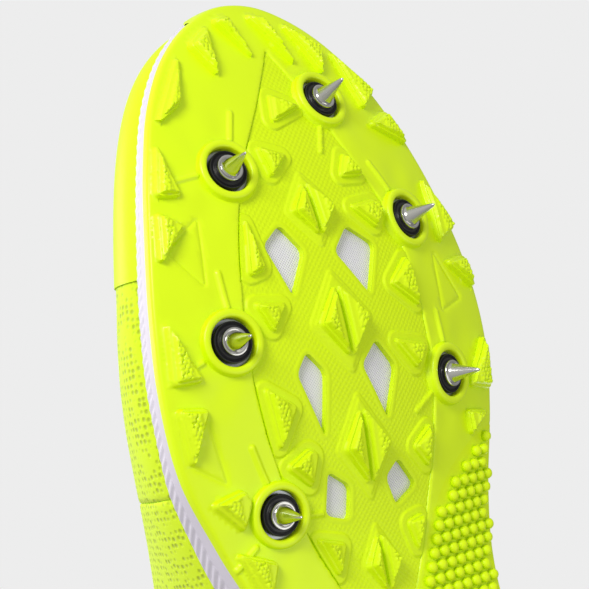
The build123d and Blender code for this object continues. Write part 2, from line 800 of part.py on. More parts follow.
# heel counter and collar padding inside the upper
counter_volume = foot_volume(wall_thickness + counter_thickness)
with BuildPart() as heel_counter:
    add(shell_between(inner_volume, counter_volume, counter_start, shoe_length + 20.0))
    add(span_block(counter_start, shoe_length + 20.0, high=counter_top), mode=Mode.INTERSECT)
    add(sockliner_block, mode=Mode.SUBTRACT)
heel_counter.part.label = "heel_counter"
export_step(heel_counter.part, "parts/heel_counter.step")

lining_volume = foot_volume(wall_thickness + collar_padding)
collar_bottom = [(t, z - collar_depth) for t, z in topline]
with BuildPart() as collar_pad:
    add(shell_between(inner_volume, lining_volume, collar_start, shoe_length + 20.0))
    add(above_topline, mode=Mode.SUBTRACT)
    add(below_curve(collar_bottom), mode=Mode.SUBTRACT)
    add(heel_counter.part, mode=Mode.SUBTRACT)
collar_pad.part.label = "collar_padding"
export_step(collar_pad.part, "parts/collar_padding.step")

# tongue, under the lacing opening
tongue_outer = foot_volume(wall_thickness + tongue_gap)
tongue_inner = foot_volume(wall_thickness + tongue_gap + tongue_thickness)
tongue_length = tongue_top - tongue_toe
with BuildPart() as tongue:
    add(shell_between(tongue_outer, tongue_inner, tongue_toe, tongue_top))
    with BuildSketch(Plane.XY.offset(tongue_floor)):
        with Locations((throat_x, along(tongue_toe + tongue_length / 2))):
            Rectangle(2 * tongue_half_width, tongue_length)
    extrude(amount=tall, mode=Mode.INTERSECT)
tongue.part.label = "tongue"
export_step(tongue.part, "parts/tongue.step")

loop_volume = foot_volume(wall_thickness + tongue_gap - loop_thickness)
with BuildPart() as tongue_loop:
    add(shell_between(loop_volume, tongue_outer, loop_place, loop_place + loop_height))
    with BuildSketch(Plane.XY.offset(tongue_floor)):
        with Locations((throat_x, along(loop_place))):
            Rectangle(loop_width, 4 * loop_height)
    extrude(amount=tall, mode=Mode.INTERSECT)
tongue_loop.part.label = "tongue_loop"
export_step(tongue_loop.part, "parts/tongue_loop.step")

# webbing tab sewn down the back of the heel
tab_volume = foot_volume(-overlay_thickness - pull_tab_thickness)
heel_x = (last_sections[-1][1] + last_sections[-1][2]) / 2
with BuildPart() as pull_tab:
    add(tab_volume)
    add(overlay_volume, mode=Mode.SUBTRACT)
    add(above_topline, mode=Mode.SUBTRACT)
    with BuildSketch(Plane.XY.offset(pull_tab_bottom)):
        with Locations((heel_x, along(shoe_length))):
            Rectangle(pull_tab_width, 4 * pull_tab_width)
    extrude(amount=tall, mode=Mode.INTERSECT)
pull_tab.part.label = "pull_tab"
export_step(pull_tab.part, "parts/pull_tab.step")


# ----------------------------------------------------------------------------------------------------------
# Lace, criss-crossed at the eyelets' places, its ends tucked between the tongue and the quarters.
# No eyelet holes are cut, so it runs through the solids of the panels and lies sunk in the tongue.
# ----------------------------------------------------------------------------------------------------------
def upper_point(x, t, out):
    """Point over or under the upper's outer face at (x, t), out from it."""
    medial, lateral, height, wide_height, power = (between(last_sections, t, c) for c in range(1, 6))
    share = min(abs(x - (medial + lateral) / 2) / ((lateral - medial) / 2 + out), 0.97)
    rise = (height - wide_height + out) * (1 - share**power) ** (1 / power)
    return Vector(x, along(t), footbed(t) + wide_height + rise)


lace_over = overlay_thickness + lace_radius + 2 * lace_clearance
lace_under = -wall_thickness - lace_radius - lace_clearance
lace_tongue = -wall_thickness - tongue_gap + lace_radius + lace_clearance


def strand(first_side, lift):
    """Route of one half of the lace from under its lowest eyelet to its tucked end."""
    rows = eyelets()
    side = first_side
    x, t = rows[0][side]
    route = [upper_point(x, t, lace_over), upper_point(x, t, lace_under)]
    for row in range(1, len(rows)):
        crossing_t = (rows[row - 1][0][1] + rows[row][0][1]) / 2
        route.append(upper_point(throat_x, crossing_t, lace_tongue + lift))
        side = 1 - side
        x, t = rows[row][side]
        route.append(upper_point(x, t, lace_under))
        route.append(upper_point(x, t, lace_over))
        edge_x = x + (eyelet_margin if side == 0 else -eyelet_margin)
        if row < len(rows) - 1:
            route.append(upper_point(edge_x, t + lace_step_back, lace_over))
    turn = -1 if side == 0 else 1
    heights = [lace_over - 1.0, lace_tongue, lace_tongue]
    for (across, back), out in zip(lace_tuck, heights):
        route.append(upper_point(edge_x + turn * across, t + back, out))
    return route


def corner_radii(points):
    """Radius of the arc at each corner of a route, as large as its two runs allow."""
    radii = []
    for before, corner, after in zip(points, points[1:], points[2:]):
        arriving, leaving = corner - before, after - corner
        turn = math.radians(arriving.get_angle(leaving))
        radii.append(0.45 * min(arriving.length, leaving.length) / math.tan(turn / 2))
    return radii


medial_strand = strand(0, 0.0)
lateral_strand = strand(1, 2 * lace_radius + lace_clearance)
lace_route = medial_strand[::-1] + lateral_strand
with BuildPart() as lace:
    with BuildLine():
        FilletPolyline(*lace_route, radius=corner_radii(lace_route))
    with BuildSketch(Plane(origin=lace_route[0], z_dir=lace_route[1] - lace_route[0])):
        Circle(lace_radius)
    sweep()
lace.part.label = "lace"
export_step(lace.part, "parts/lace.step")

with BuildPart() as lace_aglets:
    for tip, last in ((lace_route[0], lace_route[1]), (lace_route[-1], lace_route[-2])):
        with BuildSketch(Plane(origin=tip, z_dir=tip - last)):
            Circle(aglet_radius)
        extrude(amount=aglet_length)
lace_aglets.part.label = "lace_aglets"
export_step(lace_aglets.part, "parts/lace_aglets.step")
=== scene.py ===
"""Left cross-country racing spike: the visible model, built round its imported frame.

Lengths in the classes are millimetres, and a mesh is scaled to metres when it is made. X runs from the medial
side (-) to the lateral side (+), t is the distance back from the toe tip, and Z is up.
"""

import json
import logging
import math
from dataclasses import dataclass, field
from enum import Enum
from typing import Any, Callable, Sequence

import bmesh
import bpy
import numpy as np
from mathutils import Matrix, Vector
from mathutils.geometry import delaunay_2d_cdt
from mathutils.noise import noise


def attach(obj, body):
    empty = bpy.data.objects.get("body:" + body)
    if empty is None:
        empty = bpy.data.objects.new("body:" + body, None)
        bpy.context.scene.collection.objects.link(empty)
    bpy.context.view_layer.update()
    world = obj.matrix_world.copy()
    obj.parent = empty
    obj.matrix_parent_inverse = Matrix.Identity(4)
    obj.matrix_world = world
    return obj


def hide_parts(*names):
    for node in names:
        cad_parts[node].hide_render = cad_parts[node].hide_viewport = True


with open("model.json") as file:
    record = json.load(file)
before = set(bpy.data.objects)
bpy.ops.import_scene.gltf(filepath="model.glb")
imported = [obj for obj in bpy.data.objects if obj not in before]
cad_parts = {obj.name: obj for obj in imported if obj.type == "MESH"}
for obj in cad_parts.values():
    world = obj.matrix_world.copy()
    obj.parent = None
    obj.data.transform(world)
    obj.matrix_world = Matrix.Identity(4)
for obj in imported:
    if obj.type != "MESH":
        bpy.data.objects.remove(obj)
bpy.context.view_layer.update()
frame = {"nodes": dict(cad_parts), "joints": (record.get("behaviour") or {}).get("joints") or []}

logging.basicConfig(level=logging.INFO, format="%(message)s")
log = logging.getLogger("racing_spike")

MM = 0.001
HALF_LENGTH = 142.0
Points = np.ndarray


# ------------------------------------------------------------------------------------------------------------
# Curves, distances and triangles
# ------------------------------------------------------------------------------------------------------------
def ease(share: Points) -> Points:
    """Smooth step from 0 to 1."""
    share = np.clip(share, 0.0, 1.0)
    return share * share * (3 - 2 * share)


def between(table: Sequence[tuple], t: Points, column: int = 1) -> Points:
    """Smooth value of a table's column.

    Args:
        table: rows that start with their place t.
        t: the places asked for.
        column: the column of the value.

    Returns:
        The values at t.
    """
    rows = np.array(table, float)
    t = np.clip(np.asarray(t, float), rows[0, 0], rows[-1, 0])
    at = np.clip(np.searchsorted(rows[:, 0], t, side="right") - 1, 0, len(rows) - 2)
    low, high = rows[at], rows[at + 1]
    before, after = rows[np.maximum(at - 1, 0)], rows[np.minimum(at + 2, len(rows) - 1)]
    span = high[..., 0] - low[..., 0]
    slope_low = (high[..., column] - before[..., column]) / (high[..., 0] - before[..., 0]) * span
    slope_high = (after[..., column] - low[..., column]) / (after[..., 0] - low[..., 0]) * span
    s = (t - low[..., 0]) / span
    return (
        (2 * s**3 - 3 * s**2 + 1) * low[..., column]
        + (s**3 - 2 * s**2 + s) * slope_low
        + (3 * s**2 - 2 * s**3) * high[..., column]
        + (s**3 - s**2) * slope_high
    )


def resample(points: Points, step: float, closed: bool = True) -> Points:
    """Points about a step apart along a line.

    Args:
        points: the line's points, one row each.
        step: the wanted distance.
        closed: whether the line returns to its start.

    Returns:
        The new points; a closed line doesn't repeat its first.
    """
    line = np.vstack([points, points[:1]]) if closed else np.asarray(points, float)
    run = np.concatenate([[0.0], np.cumsum(np.linalg.norm(np.diff(line, axis=0), axis=1))])
    count = max(int(round(run[-1] / step)), 3)
    places = np.linspace(0.0, run[-1], count + 1)
    if closed:
        places = places[:-1]
    return np.stack([np.interp(places, run, line[:, i]) for i in range(line.shape[1])], axis=1)


def smooth_line(corners: Sequence[tuple], step: float, closed: bool = True) -> Points:
    """Smooth line through corners, with even steps.

    Args:
        corners: the points that it passes.
        step: distance between the points returned.
        closed: whether the line returns to its start.

    Returns:
        The line's points.
    """
    corners = np.array(corners, float)
    count = len(corners)
    pieces = []
    for i in range(count if closed else count - 1):
        if closed:
            p0, p1, p2, p3 = (corners[(i + k) % count] for k in (-1, 0, 1, 2))
        else:
            p0, p1 = corners[max(i - 1, 0)], corners[i]
            p2, p3 = corners[i + 1], corners[min(i + 2, count - 1)]
        span = np.linalg.norm(p2 - p1)
        lead, trail = np.linalg.norm(p1 - p0), np.linalg.norm(p3 - p2)
        m1 = m2 = p2 - p1
        if lead >= 1e-9:
            m1 = span * ((p1 - p0) / lead - (p2 - p0) / (lead + span) + (p2 - p1) / span)
        if trail >= 1e-9:
            m2 = span * ((p2 - p1) / span - (p3 - p1) / (span + trail) + (p3 - p2) / trail)
        s = np.linspace(0, 1, 24, endpoint=False)[:, None]
        pieces.append(
            (2 * s**3 - 3 * s**2 + 1) * p1
            + (s**3 - 2 * s**2 + s) * m1
            + (3 * s**2 - 2 * s**3) * p2
            + (s**3 - s**2) * m2
        )
    if not closed:
        pieces.append(corners[-1:])
    return resample(np.vstack(pieces), step, closed)


def rounded(corners: Sequence[tuple], radius: float, step: float = 0.4) -> Points:
    """Closed outline with straight sides and rounded corners.

    Args:
        corners: the sharp corners.
        radius: how far from a corner its rounding starts.
        step: distance between the points returned.

    Returns:
        The outline's points.
    """
    corners = np.array(corners, float)
    pieces = []
    for i, corner in enumerate(corners):
        before, after = corners[i - 1], corners[(i + 1) % len(corners)]
        back, ahead = before - corner, after - corner
        start = corner + back * min(radius / np.linalg.norm(back), 0.45)
        end = corner + ahead * min(radius / np.linalg.norm(ahead), 0.45)
        s = np.linspace(0, 1, 9)[:, None]
        pieces.append((1 - s) ** 2 * start + 2 * s * (1 - s) * corner + s**2 * end)
    return resample(np.vstack(pieces), step)


def signed_distance(points: Points, loop: Points) -> Points:
    """Distance of each point to a closed loop, above zero inside it."""
    found = np.empty(len(points))
    start, run = loop, np.roll(loop, -1, axis=0) - loop
    squares = np.maximum((run * run).sum(1), 1e-12)
    for first in range(0, len(points), 2500):
        part = points[first : first + 2500]
        offset = part[:, None, :] - start[None]
        share = np.clip((offset * run).sum(-1) / squares, 0, 1)
        gap = np.sqrt(((offset - share[..., None] * run) ** 2).sum(-1).min(1))
        y, low, high = part[:, 1, None], start[None, :, 1], start[None, :, 1] + run[None, :, 1]
        crosses = (low > y) != (high > y)
        rise = np.where(np.abs(run[:, 1]) < 1e-12, 1e-12, run[:, 1])
        at_x = start[None, :, 0] + (y - low) / rise * run[None, :, 0]
        inside = (crosses & (part[:, 0, None] < at_x)).sum(1) % 2 == 1
        found[first : first + 2500] = np.where(inside, gap, -gap)
    return found


def grid_in(loop: Points, step: float, margin: float = 0.0, turned: float = 0.0) -> Points:
    """Grid points inside a loop.

    Args:
        loop: the closed loop.
        step: the grid's spacing.
        margin: how far inside the loop they stay; below zero, how far outside they may go.
        turned: the grid's angle in degrees.

    Returns:
        The points.
    """
    centre, reach = loop.mean(0), np.abs(loop - loop.mean(0)).max() * 1.5 + step - min(margin, 0.0)
    line = np.arange(-math.ceil(reach / step), math.ceil(reach / step) + 1) * step
    u, v = (a.ravel() for a in np.meshgrid(line, line))
    c, s = math.cos(math.radians(turned)), math.sin(math.radians(turned))
    centre = np.round(centre / step) * step if turned == 0 else np.zeros(2)
    if turned:
        reach = np.abs(loop).max() * 1.5
        line = np.arange(-math.ceil(reach / step), math.ceil(reach / step) + 1) * step
        u, v = (a.ravel() for a in np.meshgrid(line, line))
    points = centre + np.stack([c * u - s * v, s * u + c * v], axis=1)
    low, high = loop.min(0) + min(margin, 0.0), loop.max(0) - min(margin, 0.0)
    points = points[((points >= low) & (points <= high)).all(1)]
    return points[signed_distance(points, loop) > margin] if len(points) else points


def rings_round(loop: Points, offsets: Sequence[float], step: float) -> Points:
    """Loose points at given signed distances from a closed loop, above zero inside it."""
    line = resample(loop, step)
    ahead = np.roll(line, -1, axis=0) - np.roll(line, 1, axis=0)
    ahead /= np.linalg.norm(ahead, axis=1)[:, None]
    normal = np.stack([-ahead[:, 1], ahead[:, 0]], axis=1)
    area = (line[:, 0] * np.roll(line[:, 1], -1) - np.roll(line[:, 0], -1) * line[:, 1]).sum()
    if area < 0:
        normal = -normal
    found = []
    for offset in offsets:
        ring = line + normal * offset
        found.append(ring[np.abs(signed_distance(ring, line) - offset) < 0.06])
    return np.vstack(found)


def triangulate(loops: Sequence[Points], loose: Points) -> tuple[Points, Points]:
    """Flat triangle mesh with the loops as edges.

    Args:
        loops: closed loops that stay edges.
        loose: further points.

    Returns:
        The corners, and the triangles as rows of three indices.
    """
    points, edges = [], []
    for loop in loops:
        first = len(points)
        points += [Vector(p) for p in loop]
        edges += [(first + i, first + (i + 1) % len(loop)) for i in range(len(loop))]
    points += [Vector(p) for p in loose]
    made = delaunay_2d_cdt(points, edges, [], 0, 1e-4)
    return np.array([list(v) for v in made[0]]), np.array([list(f) for f in made[2] if len(f) == 3])


def beads(points: Points, pitch: float, seed: int) -> Points:
    """Round beads in a loose lattice.

    Args:
        points: places (x, t).
        pitch: distance between beads.
        seed: fixes how each bead strays from the lattice.

    Returns:
        The beads' height at each point, from 0 to 1.
    """
    row_step = pitch * math.sqrt(3) / 2
    row = np.round(points[:, 1] / row_step)
    found = np.zeros(len(points))
    for rows in (-1, 0, 1):
        line = row + rows
        shift = np.where(line % 2 == 0, 0.0, pitch / 2)
        column = np.round((points[:, 0] - shift) / pitch)
        for columns in (-1, 0, 1):
            at = column + columns
            stray = np.sin(at * 12.9898 + line * 78.233 + seed) * 43758.5453
            stray_x = (stray - np.floor(stray) - 0.5) * 0.35 * pitch
            stray_t = (stray * 7.13 - np.floor(stray * 7.13) - 0.5) * 0.35 * pitch
            off_x = points[:, 0] - at * pitch - shift - stray_x
            gap = np.hypot(off_x, points[:, 1] - line * row_step - stray_t)
            found = np.maximum(found, np.sqrt(np.clip(1 - (gap / (0.56 * pitch)) ** 2, 0, 1)))
    return found


# ------------------------------------------------------------------------------------------------------------
# Objects
# ------------------------------------------------------------------------------------------------------------
def make_object(name: str, vertices: Any, faces: Any, material: bpy.types.Material) -> bpy.types.Object:
    """New smooth mesh object.

    Args:
        name: the piece's name.
        vertices: corners in metres, in the row frame.
        faces: indices of each face's corners.
        material: its finish.

    Returns:
        The object, at the origin.
    """
    mesh = bpy.data.meshes.new(name)
    mesh.from_pydata([tuple(map(float, v)) for v in vertices], [], [tuple(map(int, f)) for f in faces])
    mesh.polygons.foreach_set("use_smooth", [True] * len(mesh.polygons))
    mesh.materials.append(material)
    mesh.update()
    made = bpy.data.objects.new(name, mesh)
    bpy.context.scene.collection.objects.link(made)
    return made


def settle(made: bpy.types.Object, body: str, nodes: Sequence[str] = ()) -> bpy.types.Object:
    """Puts a finished piece on its body.

    Args:
        made: the piece.
        body: the body it moves with.
        nodes: the frame's nodes that it stands for.

    Returns:
        The piece.
    """
    if nodes:
        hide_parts(*nodes)
    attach(made, body)
    log.info("%s: %d faces on %s", made.name, len(made.data.polygons), body)
    return made


def copy_of(node: str, name: str, material: bpy.types.Material, crease: float = 40.0) -> bpy.types.Object:
    """Merged copy of a frame node's mesh, shaded smooth up to a crease angle.

    Args:
        node: the frame's node.
        name: the new piece's name.
        material: its finish.
        crease: edges that turn more than this many degrees stay sharp.

    Returns:
        The new object.
    """
    build = bmesh.new()
    build.from_mesh(frame["nodes"][node].data)
    bmesh.ops.remove_doubles(build, verts=build.verts, dist=1e-5)
    for edge in build.edges:
        edge.smooth = len(edge.link_faces) == 2 and edge.calc_face_angle(0.0) < math.radians(crease)
    for face in build.faces:
        face.smooth = True
    mesh = bpy.data.meshes.new(name)
    build.to_mesh(mesh)
    build.free()
    mesh.materials.clear()
    mesh.materials.append(material)
    made = bpy.data.objects.new(name, mesh)
    bpy.context.scene.collection.objects.link(made)
    return made


def evaluated(made: bpy.types.Object) -> bpy.types.Object:
    """Makes what an object's modifiers give its mesh, and removes them."""
    bpy.context.view_layer.update()
    graph = bpy.context.evaluated_depsgraph_get()
    mesh = bpy.data.meshes.new_from_object(made.evaluated_get(graph), depsgraph=graph)
    old = made.data
    made.modifiers.clear()
    made.data = mesh
    bpy.data.meshes.remove(old)
    return made


# ------------------------------------------------------------------------------------------------------------
# Finishes
# ------------------------------------------------------------------------------------------------------------
def to_linear(colour: str) -> tuple[float, float, float, float]:
    """Linear colour of an sRGB hex value such as #D4F500."""
    parts = [int(colour[i : i + 2], 16) / 255 for i in (1, 3, 5)]
    r, g, b = (p / 12.92 if p <= 0.04045 else ((p + 0.055) / 1.055) ** 2.4 for p in parts)
    return r, g, b, 1.0


def add_node(tree: Any, kind: str, settings: dict | None = None, inputs: dict | None = None) -> Any:
    """Adds a node to a tree.

    Args:
        tree: the node tree.
        kind: the node's type.
        settings: its properties.
        inputs: socket to a constant, or to another node's output.

    Returns:
        The node.
    """
    made = tree.nodes.new(kind)
    for key, value in (settings or {}).items():
        setattr(made, key, value)
    for key, value in (inputs or {}).items():
        if isinstance(value, bpy.types.NodeSocket):
            tree.links.new(value, made.inputs[key])
        else:
            made.inputs[key].default_value = value
    return made


class Pattern(Enum):
    """What a finish shows beside its colour."""

    PLAIN = "plain"
    GRAIN = "grain"
    WEAVE = "weave"
    KNIT = "knit"


@dataclass(frozen=True)
class Finish:
    """One material and how its surface was made."""

    name: str
    colour: str
    roughness: float
    # Colour of the painted shade in the gaps of a weave or knit pattern.
    painted_gap_shade: str = "#000000"
    metallic: float = 0.0
    coat: float = 0.0
    sheen: float = 0.0
    pattern: Pattern = Pattern.PLAIN
    pitch: float = 1.0
    depth: float = 0.1
    ior: float = 1.5
    specular: float = 0.5

    def material(self) -> bpy.types.Material:
        """The Blender material, made once."""
        found = bpy.data.materials.get(self.name)
        if found:
            return found
        made = bpy.data.materials.new(self.name)
        made.use_nodes = True
        tree = made.node_tree
        shader = tree.nodes["Principled BSDF"]
        values = {
            "Base Color": to_linear(self.colour),
            "Roughness": self.roughness,
            "Metallic": self.metallic,
            "Coat Weight": self.coat,
            "Coat Roughness": 0.12,
            "Sheen Weight": self.sheen,
            "Specular IOR Level": self.specular,
        }
        if not self.metallic:
            values["IOR"] = self.ior
        for key, value in values.items():
            shader.inputs[key].default_value = value
        if self.pattern is not Pattern.PLAIN:
            self.dress(tree, shader)
        return made

    def dress(self, tree: Any, shader: Any) -> None:
        """Adds the pattern's relief to a shader, and for a weave or knit paints shade into its gaps: the
        darker colour where the relief is lowest.
        """
        place = add_node(tree, "ShaderNodeTexCoord").outputs["Object"]
        if self.pattern is Pattern.GRAIN:
            height = add_node(
                tree,
                "ShaderNodeTexNoise",
                None,
                {"Vector": place, "Scale": 1 / (self.pitch * MM), "Detail": 3.0},
            ).outputs["Fac"]
        elif self.pattern is Pattern.KNIT:
            cell = add_node(
                tree,
                "ShaderNodeTexVoronoi",
                {"feature": "F1"},
                {"Vector": place, "Scale": 1 / (self.pitch * MM), "Randomness": 0.35},
            ).outputs["Distance"]
            height = add_node(
                tree, "ShaderNodeMapRange", None, {"Value": cell, "From Min": 0.15, "From Max": 0.45}
            ).outputs["Result"]
        else:
            height = self.woven(tree, place)
        # Painted shade: a weave or knit gets its darker colour where the relief is lowest, so its gaps look
        # shaded.
        if self.pattern is not Pattern.GRAIN:
            gap_shade_mix = add_node(
                tree,
                "ShaderNodeMix",
                {"data_type": "RGBA"},
                {"Factor": height, "A": to_linear(self.painted_gap_shade), "B": to_linear(self.colour)},
            )
            mixed = next(s for s in gap_shade_mix.outputs if s.type == "RGBA")
            for socket, value in zip(
                [s for s in gap_shade_mix.inputs if s.type == "RGBA"], (self.painted_gap_shade, self.colour), strict=True
            ):
                socket.default_value = to_linear(value)
            tree.links.new(mixed, shader.inputs["Base Color"])
        relief = add_node(tree, "ShaderNodeBump", None, {"Height": height, "Distance": self.depth * MM})
        tree.links.new(relief.outputs["Normal"], shader.inputs["Normal"])

    def woven(self, tree: Any, place: Any) -> Any:
        """Socket from 0 in the gaps of a plain weave to 1 on its threads."""
        parts = add_node(tree, "ShaderNodeSeparateXYZ", None, {"Vector": place})
        waves = []
        for axis in ("X", "Y"):
            turn = add_node(
                tree,
                "ShaderNodeMath",
                {"operation": "MULTIPLY"},
                {0: parts.outputs[axis], 1: 2 * math.pi / (self.pitch * MM)},
            )
            wave = add_node(tree, "ShaderNodeMath", {"operation": "SINE"}, {0: turn.outputs[0]})
            waves.append(wave.outputs[0])
        product = add_node(
            tree, "ShaderNodeMath", {"operation": "MULTIPLY"}, {0: waves[0], 1: waves[1]}
        ).outputs[0]
        return add_node(
            tree, "ShaderNodeMapRange", None, {"Value": product, "From Min": 0.75, "From Max": 0.3}
        ).outputs["Result"]


# Injection-moulded TPU: a clear volt yellow with a soft wet gloss.
PLATE_TPU = Finish(
    "moulded_volt_tpu", "#D8F400", 0.4, specular=0.35, coat=0.08,
    pattern=Pattern.GRAIN, pitch=2.5, depth=0.02,
)
# The same TPU off an etched part of the mould: slightly duller.
WEB_TPU = Finish(
    "etched_volt_tpu", "#D4F000", 0.5, specular=0.3, pattern=Pattern.GRAIN, pitch=1.0, depth=0.02,
)
# Woven polyester: white threads, with painted grey shade in the gaps.
BACKING_WEAVE = Finish("woven_white_polyester", "#E6E4E9", 0.8, "#BDBDC4", pattern=Pattern.WEAVE, pitch=0.7)
# Compression-moulded EVA foam: a matt skin, white with a lilac cast.
MIDSOLE_EVA = Finish("moulded_lilac_eva", "#D3CDD8", 0.55, pattern=Pattern.GRAIN, pitch=0.8, depth=0.03)
# Moulded rubber: volt, matt.
TREAD_RUBBER = Finish(
    "moulded_volt_rubber", "#D8F200", 0.5, specular=0.3, pattern=Pattern.GRAIN, pitch=1.0, depth=0.03,
)
# Engineered knit polyester: volt, with painted darker shade in its small gaps.
UPPER_KNIT = Finish(
    "knitted_volt_mesh", "#D0EC00", 0.8, "#AFC420", sheen=0.1, pattern=Pattern.KNIT, pitch=1.5, depth=0.2,
)
# Welded TPU film: smooth and a little shiny.
WELDED_FILM = Finish(
    "welded_volt_film", "#D0EC00", 0.5, specular=0.3, pattern=Pattern.GRAIN, pitch=1.2, depth=0.02,
)
# Brushed tricot lining: soft and pale grey.
LINING_TRICOT = Finish(
    "brushed_grey_tricot", "#B9BCC2", 0.9, sheen=0.4, pattern=Pattern.GRAIN, pitch=0.6, depth=0.06,
)
# Die-cut foam sockliner with a knitted top cloth: pale grey, with painted darker shade in the knit's gaps.
SOCKLINER_CLOTH = Finish(
    "laminated_grey_sockliner", "#C9CBD0", 0.85, "#A9ABB2", pattern=Pattern.KNIT, pitch=1.0, depth=0.1,
)
# Pressed cellulose board: plain white.
BOARD = Finish("pressed_white_board", "#E8E6E2", 0.85)
# Flat-woven polyester lace: volt, with painted darker shade in its gaps.
LACE_WEAVE = Finish(
    "braided_volt_lace", "#DDF53A", 0.75, "#A6BC10", sheen=0.2, pattern=Pattern.KNIT, pitch=0.7, depth=0.15,
)
# Heat-shrunk plastic: clear-grey and smooth.
AGLET_PLASTIC = Finish("shrunk_clear_plastic", "#DDE0DA", 0.25)
# Woven webbing tape: volt, with painted darker shade in the gaps of its weave.
TAPE_WEBBING = Finish("woven_volt_webbing", "#CFE810", 0.75, "#9CB010", pattern=Pattern.WEAVE, pitch=0.9)
# Turned and tumbled steel insert: grey, satin.
INSERT_STEEL = Finish("tumbled_steel_insert", "#A9ACB0", 0.35, metallic=1.0)
# Turned, polished steel: bright, mirror-like.
SPIKE_STEEL = Finish("polished_spike_steel", "#C9C8C2", 0.14, metallic=1.0)
# Moulded nitrile rubber: black with a low sheen.
WASHER_RUBBER = Finish("moulded_black_rubber", "#0E0E11", 0.42)


# ------------------------------------------------------------------------------------------------------------
# The sole's form, which every bottom piece follows
# ------------------------------------------------------------------------------------------------------------
@dataclass(frozen=True)
class SoleForm:
    """Plan outline and heights of the sole."""

    stations: tuple = (
        (0.0, -4.0, 7.0),
        (4.0, -13.0, 16.0),
        (11.0, -22.0, 24.5),
        (22.0, -30.5, 32.0),
        (36.0, -37.0, 38.0),
        (52.0, -42.0, 43.0),
        (68.0, -45.5, 46.5),
        (84.0, -47.0, 47.0),
        (100.0, -45.5, 44.0),
        (116.0, -39.5, 39.0),
        (134.0, -32.0, 34.0),
        (156.0, -27.5, 32.0),
        (182.0, -28.0, 33.5),
        (212.0, -31.0, 35.5),
        (240.0, -31.0, 35.5),
        (262.0, -26.0, 31.0),
        (276.0, -16.0, 21.5),
        (284.0, -4.0, 9.0),
    )
    ball_place: float = 80.0
    ball_height: float = 6.0
    toe_curve: float = 0.0057
    heel_place: float = 192.0
    heel_height: float = 2.2
    arch_rise: float = 6.0
    bevel_place: float = 258.0
    bevel_curve: float = 0.016
    crown_centre: float = -3.5
    medial_curve: float = 0.0055
    lateral_curve: float = 0.0074
    crown_fade: tuple = (112.0, 188.0)
    wall_line: tuple = (
        (-10.0, 31.0),
        (0.0, 29.6),
        (16.0, 25.4),
        (33.0, 21.8),
        (49.0, 19.9),
        (65.0, 19.2),
        (80.0, 19.4),
        (93.0, 20.2),
        (106.0, 23.0),
        (120.0, 25.5),
        (150.0, 28.0),
        (200.0, 31.0),
        (250.0, 33.5),
        (294.0, 36.0),
    )
    wall_lean: float = 0.035
    bumper_line: tuple = ((-6.0, 33.5), (4.0, 31.0), (14.0, 26.0), (26.0, 19.5), (40.0, 12.0))

    def underside(self, points: Points) -> Points:
        """Height of the underside at points (x, t)."""
        x, t = points[:, 0], points[:, 1]
        share = np.clip((t - self.ball_place) / (self.heel_place - self.ball_place), 0, 1)
        toe = 0.5 * self.toe_curve * np.maximum(self.ball_place - t, 0) ** 2
        arch = self.arch_rise * np.sin(np.pi * share) ** 2
        rear = (self.heel_height - self.ball_height) * ease(share) + arch
        bevel = 0.5 * self.bevel_curve * np.maximum(t - self.bevel_place, 0) ** 2
        offset = x - self.crown_centre
        fade = 1 - ease((t - self.crown_fade[0]) / (self.crown_fade[1] - self.crown_fade[0]))
        curve = np.where(offset < 0, self.medial_curve, self.lateral_curve)
        return self.ball_height + toe + rear + bevel + 0.5 * curve * offset**2 * fade

    def wall_top(self, points: Points) -> Points:
        """Height of the top of the midsole's side wall at points (x, t)."""
        return between(self.wall_line, points[:, 1]) + self.wall_lean * points[:, 0]

    def outline(self, step: float = 0.8) -> Points:
        """Plan outline, toe to heel along the lateral side and back along the medial side."""
        corners = [(x, t) for t, _, x in self.stations] + [(x, t) for t, x, _ in reversed(self.stations)]
        return smooth_line(corners, step)

    def place(self, points: Points, height: Points) -> Points:
        """Points (x, t) at a height, in metres in the row frame."""
        return np.stack([points[:, 0], points[:, 1] - HALF_LENGTH, height], axis=1) * MM


FORM = SoleForm()


def outward_of(line: Points) -> Points:
    """Unit outward directions along a closed, anticlockwise plan line."""
    ahead = np.roll(line, -1, axis=0) - np.roll(line, 1, axis=0)
    ahead /= np.linalg.norm(ahead, axis=1)[:, None]
    return np.stack([ahead[:, 1], -ahead[:, 0]], axis=1)


